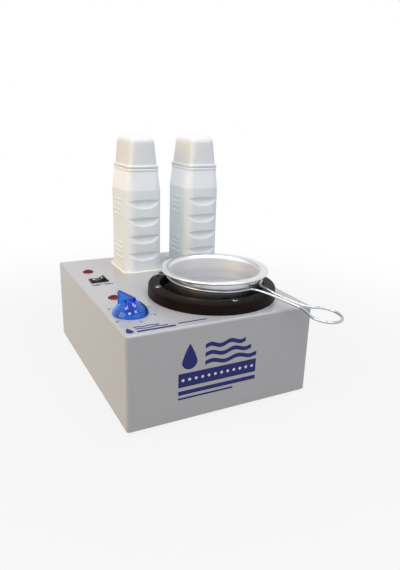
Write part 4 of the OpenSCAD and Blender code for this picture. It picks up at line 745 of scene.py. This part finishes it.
for side in ("left", "right"):
    dockX, dockY = middle("dock_" + side)[:2]
    bm = lofted(loops, arcSteps=12)
    for s in (-1, 1):
        tabW, tabT, tabH = dock["tab"]
        block(bm, (0, s * (dock["cup"][1] / 2 + tabT / 2 - 0.1), panelZ - dock["sheet"] - tabH / 2),
              (tabW, tabT, tabH))
    bmesh.ops.translate(bm, verts=bm.verts, vec=(dockX * mm, dockY * mm, 0))
    place(finishMesh("dock" + side.title(), bm, creamAbs), "case", "cream_plastic", "dock_" + side)
print("docks made")

lamp = {"radius": 6.5, "height": 3.0, "flange": 1.0, "dome": 5.7, "body": 4.9, "deep": 24.0,
        "tab": (0.8, 3.0, 8.0), "tabX": 2.5, "soft": 0.4}
for node, name in (("power_lamp", "powerLamp"), ("heat_lamp", "heatLamp")):
    lampX, lampY = middle(node)[:2]
    bulge = lamp["height"] - lamp["flange"]
    ball = (lamp["dome"] ** 2 + bulge ** 2) / (2 * bulge)
    edge = math.degrees(math.acos(lamp["dome"] / ball))
    lampFoot = panelZ - lamp["deep"]
    outline = [(0, lampFoot), (lamp["body"] - lamp["soft"], lampFoot), (lamp["body"], lampFoot + lamp["soft"]),
               (lamp["body"], panelZ), (lamp["radius"], panelZ),
               (lamp["radius"], panelZ + lamp["flange"] - lamp["soft"]),
               (lamp["radius"] - 0.3, panelZ + lamp["flange"])]
    outline += arc(0, panelZ + lamp["height"] - ball, ball, edge, 90, 10)
    outline[-1] = (0, panelZ + lamp["height"])
    bm = turned(outline, Vector((lampX, lampY, 0)) * mm, 48)
    for s in (-1, 1):
        tabT, tabW, tabH = lamp["tab"]
        block(bm, (lampX + s * lamp["tabX"], lampY, panelZ - lamp["deep"] - tabH / 2 + 0.05),
              (tabT, tabW, tabH))
    place(finishMesh(name, bm, redPolycarbonate), "case", "red_lens", node)
print("lamps made")

switch = {"length": 21.0, "width": 15.0, "height": 1.6, "cut": (19.0, 12.8), "wall": 0.8, "deep": 20.0,
          "floor": 4.0, "rockerLength": 15.4, "rockerWidth": 10.6, "pivotDown": 2.0, "pivot": 1.2, "tilt": 9.0,
          "endUp": 6.2, "midUp": 4.2, "keel": 5.0}
switchX, switchY = middle("switch_body")[:2]
cutL, cutW = switch["cut"]
wellL, wellW = cutL - 2 * switch["wall"], cutW - 2 * switch["wall"]
top = panelZ + switch["height"]
bm = lofted([(cutL, cutW, 0.4, panelZ - switch["deep"]), (cutL, cutW, 0.4, panelZ),
             (switch["length"], switch["width"], 1.0, panelZ),
             (switch["length"], switch["width"], 1.0, top - 0.7),
             (switch["length"] - 0.4, switch["width"] - 0.4, 0.8, top - 0.2),
             (switch["length"] - 1.2, switch["width"] - 1.2, 0.6, top),
             (wellL + 0.8, wellW + 0.8, 0.5, top), (wellL, wellW, 0.3, top - 0.5),
             (wellL, wellW, 0.3, panelZ - switch["deep"] + switch["floor"])], arcSteps=4)
bmesh.ops.translate(bm, verts=bm.verts, vec=(switchX * mm, switchY * mm, 0))
place(finishMesh("switchFrame", bm, blackNylon), "case", "black_plastic", "switch_body")

tipped = (Matrix.Translation((switchX * mm, switchY * mm, (panelZ - switch["pivotDown"]) * mm))
          @ Matrix.Rotation(math.radians(-switch["tilt"]), 4, "Y"))
half = switch["rockerLength"] / 2
dip = switch["endUp"] - switch["midUp"]
hollow = (half ** 2 + dip ** 2) / (2 * dip)
sweep = math.degrees(math.asin(half / hollow))
rockerLine = [(-half, -2.0)] + arc(0, switch["midUp"] + hollow, hollow, -90 - sweep, -90 + sweep, 16)
rockerLine += [(half, -2.0), (half * 0.4, -switch["keel"]), (-half * 0.4, -switch["keel"])]
bm = bmesh.new()
slab(bm, rockerLine, switch["rockerWidth"],
     tipped @ Matrix.Translation((0, switch["rockerWidth"] / 2 * mm, 0))
     @ Matrix.Rotation(math.radians(90), 4, "X"))
bmesh.ops.recalc_face_normals(bm, faces=bm.faces)
softenEdges(bm, 0.35)
rod(bm, switch["pivot"], switch["cut"][1] - 0.2, tipped @ Matrix.Rotation(math.radians(90), 4, "X"), 24)
place(finishMesh("switchRocker", bm, blackNylon), "rocker", "black_plastic", "switch_rocker")
print("switch made")

ink = {"thick": 0.05, "proud": 0.01, "heavier": 0.05, "waves": 2}


def printed(name, bm, material, body="case"):
    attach(finishMesh(name, bm, material), body)


def word(name, text, size, matrix, material, body="case"):
    # plain lettering as a thin printed mesh
    lettering = bpy.data.curves.new(name, "FONT")
    lettering.body = text
    lettering.size = size * mm
    lettering.align_x = "CENTER"
    lettering.align_y = "CENTER"
    lettering.extrude = ink["thick"] / 2 * mm
    lettering.offset = ink["heavier"] * size * mm
    bm = fromCurve(name, lettering)
    bmesh.ops.transform(bm, matrix=matrix, verts=bm.verts)
    printed(name, bm, material, body)


def waxDrop(bm, x, y, width, height, matrix):
    # a circle whose upper half is drawn up to a point
    verts = bmesh.ops.create_circle(bm, cap_ends=True, segments=48, radius=width / 2 * mm)["verts"]
    for v in verts:
        if v.co.y > 0:
            rise = v.co.y / (width / 2 * mm)
            v.co.x *= 1 - 0.55 * rise ** 2 * (1 - abs(v.co.x) / (width / 2 * mm)) - 0.25 * rise
            v.co.y = (height - width / 2) * mm * rise ** 1.6
        v.co.x += x * mm
        v.co.y += (y + width / 2) * mm
    thicken(bm, verts, matrix)


def thicken(bm, verts, matrix):
    # flat faces drawn up by the ink's thickness, then set in place
    faces = list(dict.fromkeys(f for v in verts for f in v.link_faces))
    grown = bmesh.ops.extrude_face_region(bm, geom=faces)["geom"]
    tops = [v for v in grown if isinstance(v, bmesh.types.BMVert)]
    bmesh.ops.translate(bm, verts=tops, vec=(0, 0, ink["thick"] * mm))
    bmesh.ops.transform(bm, matrix=matrix, verts=list(dict.fromkeys(verts + tops)))


def stripe(bm, x0, x1, y0, y1, matrix, wave=0.0):
    # a bar of ink from x0 to x1 and y0 to y1, which may run in waves
    verts = bmesh.ops.create_grid(bm, x_segments=48 if wave else 1, y_segments=1, size=0.5 * mm)["verts"]
    for v in verts:
        along = v.co.x / mm + 0.5
        v.co.x = (x0 + (x1 - x0) * along) * mm
        v.co.y = (y0 + (y1 - y0) * (v.co.y / mm + 0.5) + wave * math.sin(math.tau * ink["waves"] * along)) * mm
    thicken(bm, verts, matrix)


# the front's print: a wax drop with warm air over a band, and plain stripes under it
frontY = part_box("case_cover")[0].y
frontFace = Matrix.Translation((0, frontY - ink["proud"] * mm, 0)) @ Matrix.Rotation(math.radians(90), 4, "X")
frontArt = {"drop": (-40, 59.5, 17, 27), "waveFrom": -23, "waveTo": (37, 30, 23), "waveUp": 60.5,
            "wavePitch": 9, "waveThick": 4.5, "waveHeight": 1.6,
            "bars": ((-52, 37, 41, 56), (-52, 37, 32.5, 37), (-52, 10, 27.5, 29.5)),
            "dots": 12, "dotFrom": -47, "dotPitch": 7.2, "dotUp": 48.5, "dotRadius": 1.6}
bm = bmesh.new()
waxDrop(bm, *frontArt["drop"], frontFace)
for i, end in enumerate(frontArt["waveTo"]):
    foot = frontArt["waveUp"] + i * frontArt["wavePitch"]
    stripe(bm, frontArt["waveFrom"], end, foot, foot + frontArt["waveThick"], frontFace,
           frontArt["waveHeight"])
for bar in frontArt["bars"]:
    stripe(bm, *bar, frontFace)
printed("frontPrint", bm, navyInk)
bm = bmesh.new()
frontOver = Matrix.Translation((0, -ink["thick"] * mm, 0)) @ frontFace
for i in range(frontArt["dots"]):
    verts = bmesh.ops.create_circle(bm, cap_ends=True, segments=24,
                                    radius=frontArt["dotRadius"] * mm)["verts"]
    bmesh.ops.translate(bm, verts=verts, vec=(
        (frontArt["dotFrom"] + frontArt["dotPitch"] * i) * mm, frontArt["dotUp"] * mm, 0))
    thicken(bm, verts, frontOver)
printed("frontDots", bm, whiteInk)

# the panel's print: the same drop and a band, small, in front of the knob
panelTop = Matrix.Translation((0, 0, (panelZ + ink["proud"]) * mm))
panelArt = {"drop": (-97.5, -126.5, 7.5, 12), "bars": ((-91, -52, -126.5, -123), (-48, -17, -122.5, -120.5)),
            "waves": ((-91, -58, -120.5, -118.4), (-91, -65, -116, -113.9)), "waveHeight": 0.7}
bm = bmesh.new()
waxDrop(bm, *panelArt["drop"], panelTop)
for bar in panelArt["bars"]:
    stripe(bm, *bar, panelTop)
for wave in panelArt["waves"]:
    stripe(bm, *wave, panelTop, panelArt["waveHeight"])
printed("panelPrint", bm, navyInk)

dial = {"count": 6, "step": -54, "tickFrom": 20.2, "tickTo": 22.2, "digits": 25.2, "size": 4.2,
        "halfShort": 0.8, "halfThick": 0.25}
bm = bmesh.new()
for i in range(dial["count"] * 2 - 1):
    turn = Matrix.Translation((knobX * mm, knobY * mm, 0)) @ Matrix.Rotation(
        math.radians(knob["direction"] + dial["step"] * i / 2), 4, "Z")
    reach = dial["tickTo"] if i % 2 == 0 else dial["tickTo"] - dial["halfShort"]
    stripe(bm, dial["tickFrom"], reach, -dial["halfThick"], dial["halfThick"], panelTop @ turn)
printed("dialTicks", bm, navyInk)
for i in range(dial["count"]):
    turn = math.radians(knob["direction"] + dial["step"] * i)
    word("dialDigit" + str(i), str(i), dial["size"], panelTop @ Matrix.Translation(
        ((knobX + dial["digits"] * math.cos(turn)) * mm, (knobY + dial["digits"] * math.sin(turn)) * mm,
         ink["thick"] / 2 * mm)), navyInk)
word("switchLettering", "OFF   ON", 5.8, panelTop @ Matrix.Translation(
    (switchX * mm, (switchY - 16) * mm, ink["thick"] / 2 * mm)), navyInk)

# the bar and the circle on the rocker, each lying in its hollow top
for letter, along in (("I", 4.6), ("O", -4.6)):
    lean = math.asin(along / hollow)
    level = switch["midUp"] + hollow * (1 - math.cos(lean))
    word("rockerMark" + letter, letter, 4.4, tipped @ Matrix.Translation((along * mm, 0, level * mm))
         @ Matrix.Rotation(-lean, 4, "Y") @ Matrix.Translation((0, 0, 0.02 * mm)), whiteInk, "rocker")
print("print made")

floorPiece = bpy.data.objects.new("floor", bpy.data.meshes.new("floor"))
bm = bmesh.new()
bmesh.ops.create_grid(bm, x_segments=1, y_segments=1, size=6)
bm.to_mesh(floorPiece.data)
bm.free()
bpy.context.collection.objects.link(floorPiece)

# white card: shown white to the eye, dimmed near the object by its shadow
card, tree, shader = startMaterial("whiteCard", {"Base Color": linear("#a8a8a8"), "Roughness": 0.9})
spot = addNode(tree, "ShaderNodeTexCoord")
away = addNode(tree, "ShaderNodeVectorMath", {"operation": "LENGTH"}, {0: spot.outputs["Object"]})
white = addNode(tree, "ShaderNodeMapRange",
                {"interpolation_type": "SMOOTHSTEP", "From Min": 0.2, "From Max": 0.7,
                 "To Min": 0.86, "To Max": 1.0}, {"Value": away.outputs["Value"]})
share = addNode(tree, "ShaderNodeMath", {"operation": "MULTIPLY"}, {0: whiteRays(tree), 1: white.outputs[0]})
glow = addNode(tree, "ShaderNodeEmission", {"Color": (1, 1, 1, 1), "Strength": 1.0})
mixed = addNode(tree, "ShaderNodeMixShader", {},
                {0: share.outputs[0], 1: shader.outputs[0], 2: glow.outputs[0]})
tree.links.new(mixed.outputs[0], tree.nodes["Material Output"].inputs["Surface"])
floorPiece.data.materials.append(card)

world = bpy.data.worlds.new("studio")
bpy.context.scene.world = world
world.use_nodes = True
tree = world.node_tree
tree.nodes.clear()
dim = addNode(tree, "ShaderNodeBackground", {"Color": linear("#ffffff"), "Strength": 0.36})
bright = addNode(tree, "ShaderNodeBackground", {"Color": linear("#ffffff"), "Strength": 1.0})
mixed = addNode(tree, "ShaderNodeMixShader", {},
                {0: whiteRays(tree), 1: dim.outputs[0], 2: bright.outputs[0]})
addNode(tree, "ShaderNodeOutputWorld", {}, {"Surface": mixed.outputs[0]})

softboxes = {
    "ceilingA": {"at": (-0.6, -1.0, 1.6), "size": 0.5, "watts": 9.5, "colour": "#dfebff"},
    "ceilingB": {"at": (0.5, -0.9, 1.6), "size": 0.5, "watts": 6.0, "colour": "#dfebff"},
    "ceilingC": {"at": (-0.6, 0.1, 1.7), "size": 0.5, "watts": 6.0, "colour": "#dfebff"},
    "ceilingD": {"at": (0.5, 0.1, 1.7), "size": 0.5, "watts": 6.0, "colour": "#dfebff"},
    "leftWarm": {"at": (-1.4, -0.25, 0.85), "size": 1.0, "watts": 10.5, "colour": "#ffd996"},
    "front": {"at": (0.5, -1.7, 0.8), "size": 1.0, "watts": 2.0, "colour": "#f2f0ff"}}
aim = Vector((0, 0, 0.1))
for name, box in softboxes.items():
    light = bpy.data.lights.new(name, "AREA")
    light.size = box["size"]
    light.energy = box["watts"]
    light.color = linear(box["colour"])[:3]
    holder = bpy.data.objects.new(name, light)
    holder.location = box["at"]
    holder.rotation_euler = (aim - Vector(box["at"])).to_track_quat("-Z", "Y").to_euler()
    bpy.context.collection.objects.link(holder)

view = {"azimuth": -27.535, "elevation": 18.239, "roll": 1.711, "distance": 647.9,
        "right": 36.1, "up": 90.7, "focal": 513.32, "long": 570, "sensor": 36}
a, e, r = (math.radians(view[k]) for k in ("azimuth", "elevation", "roll"))
back = Vector((math.sin(a) * math.cos(e), -math.cos(a) * math.cos(e), math.sin(e)))
right = Vector((math.cos(a), math.sin(a), 0))
up = back.cross(right)
right, up = right * math.cos(r) + up * math.sin(r), up * math.cos(r) - right * math.sin(r)
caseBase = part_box("case_cover")[0].z
camera = bpy.data.objects.new("camera", bpy.data.cameras.new("camera"))
camera.data.sensor_width = view["sensor"]
camera.data.lens = view["focal"] / view["long"] * view["sensor"]
camera.matrix_world = Matrix.Translation(
    (back * view["distance"] + right * view["right"] + up * view["up"]) * mm + Vector((0, 0, caseBase))
) @ Matrix((right, up, back)).transposed().to_4x4()
bpy.context.collection.objects.link(camera)
bpy.context.scene.camera = camera
bpy.context.scene.view_settings.view_transform = "Standard"
print("light and camera set")
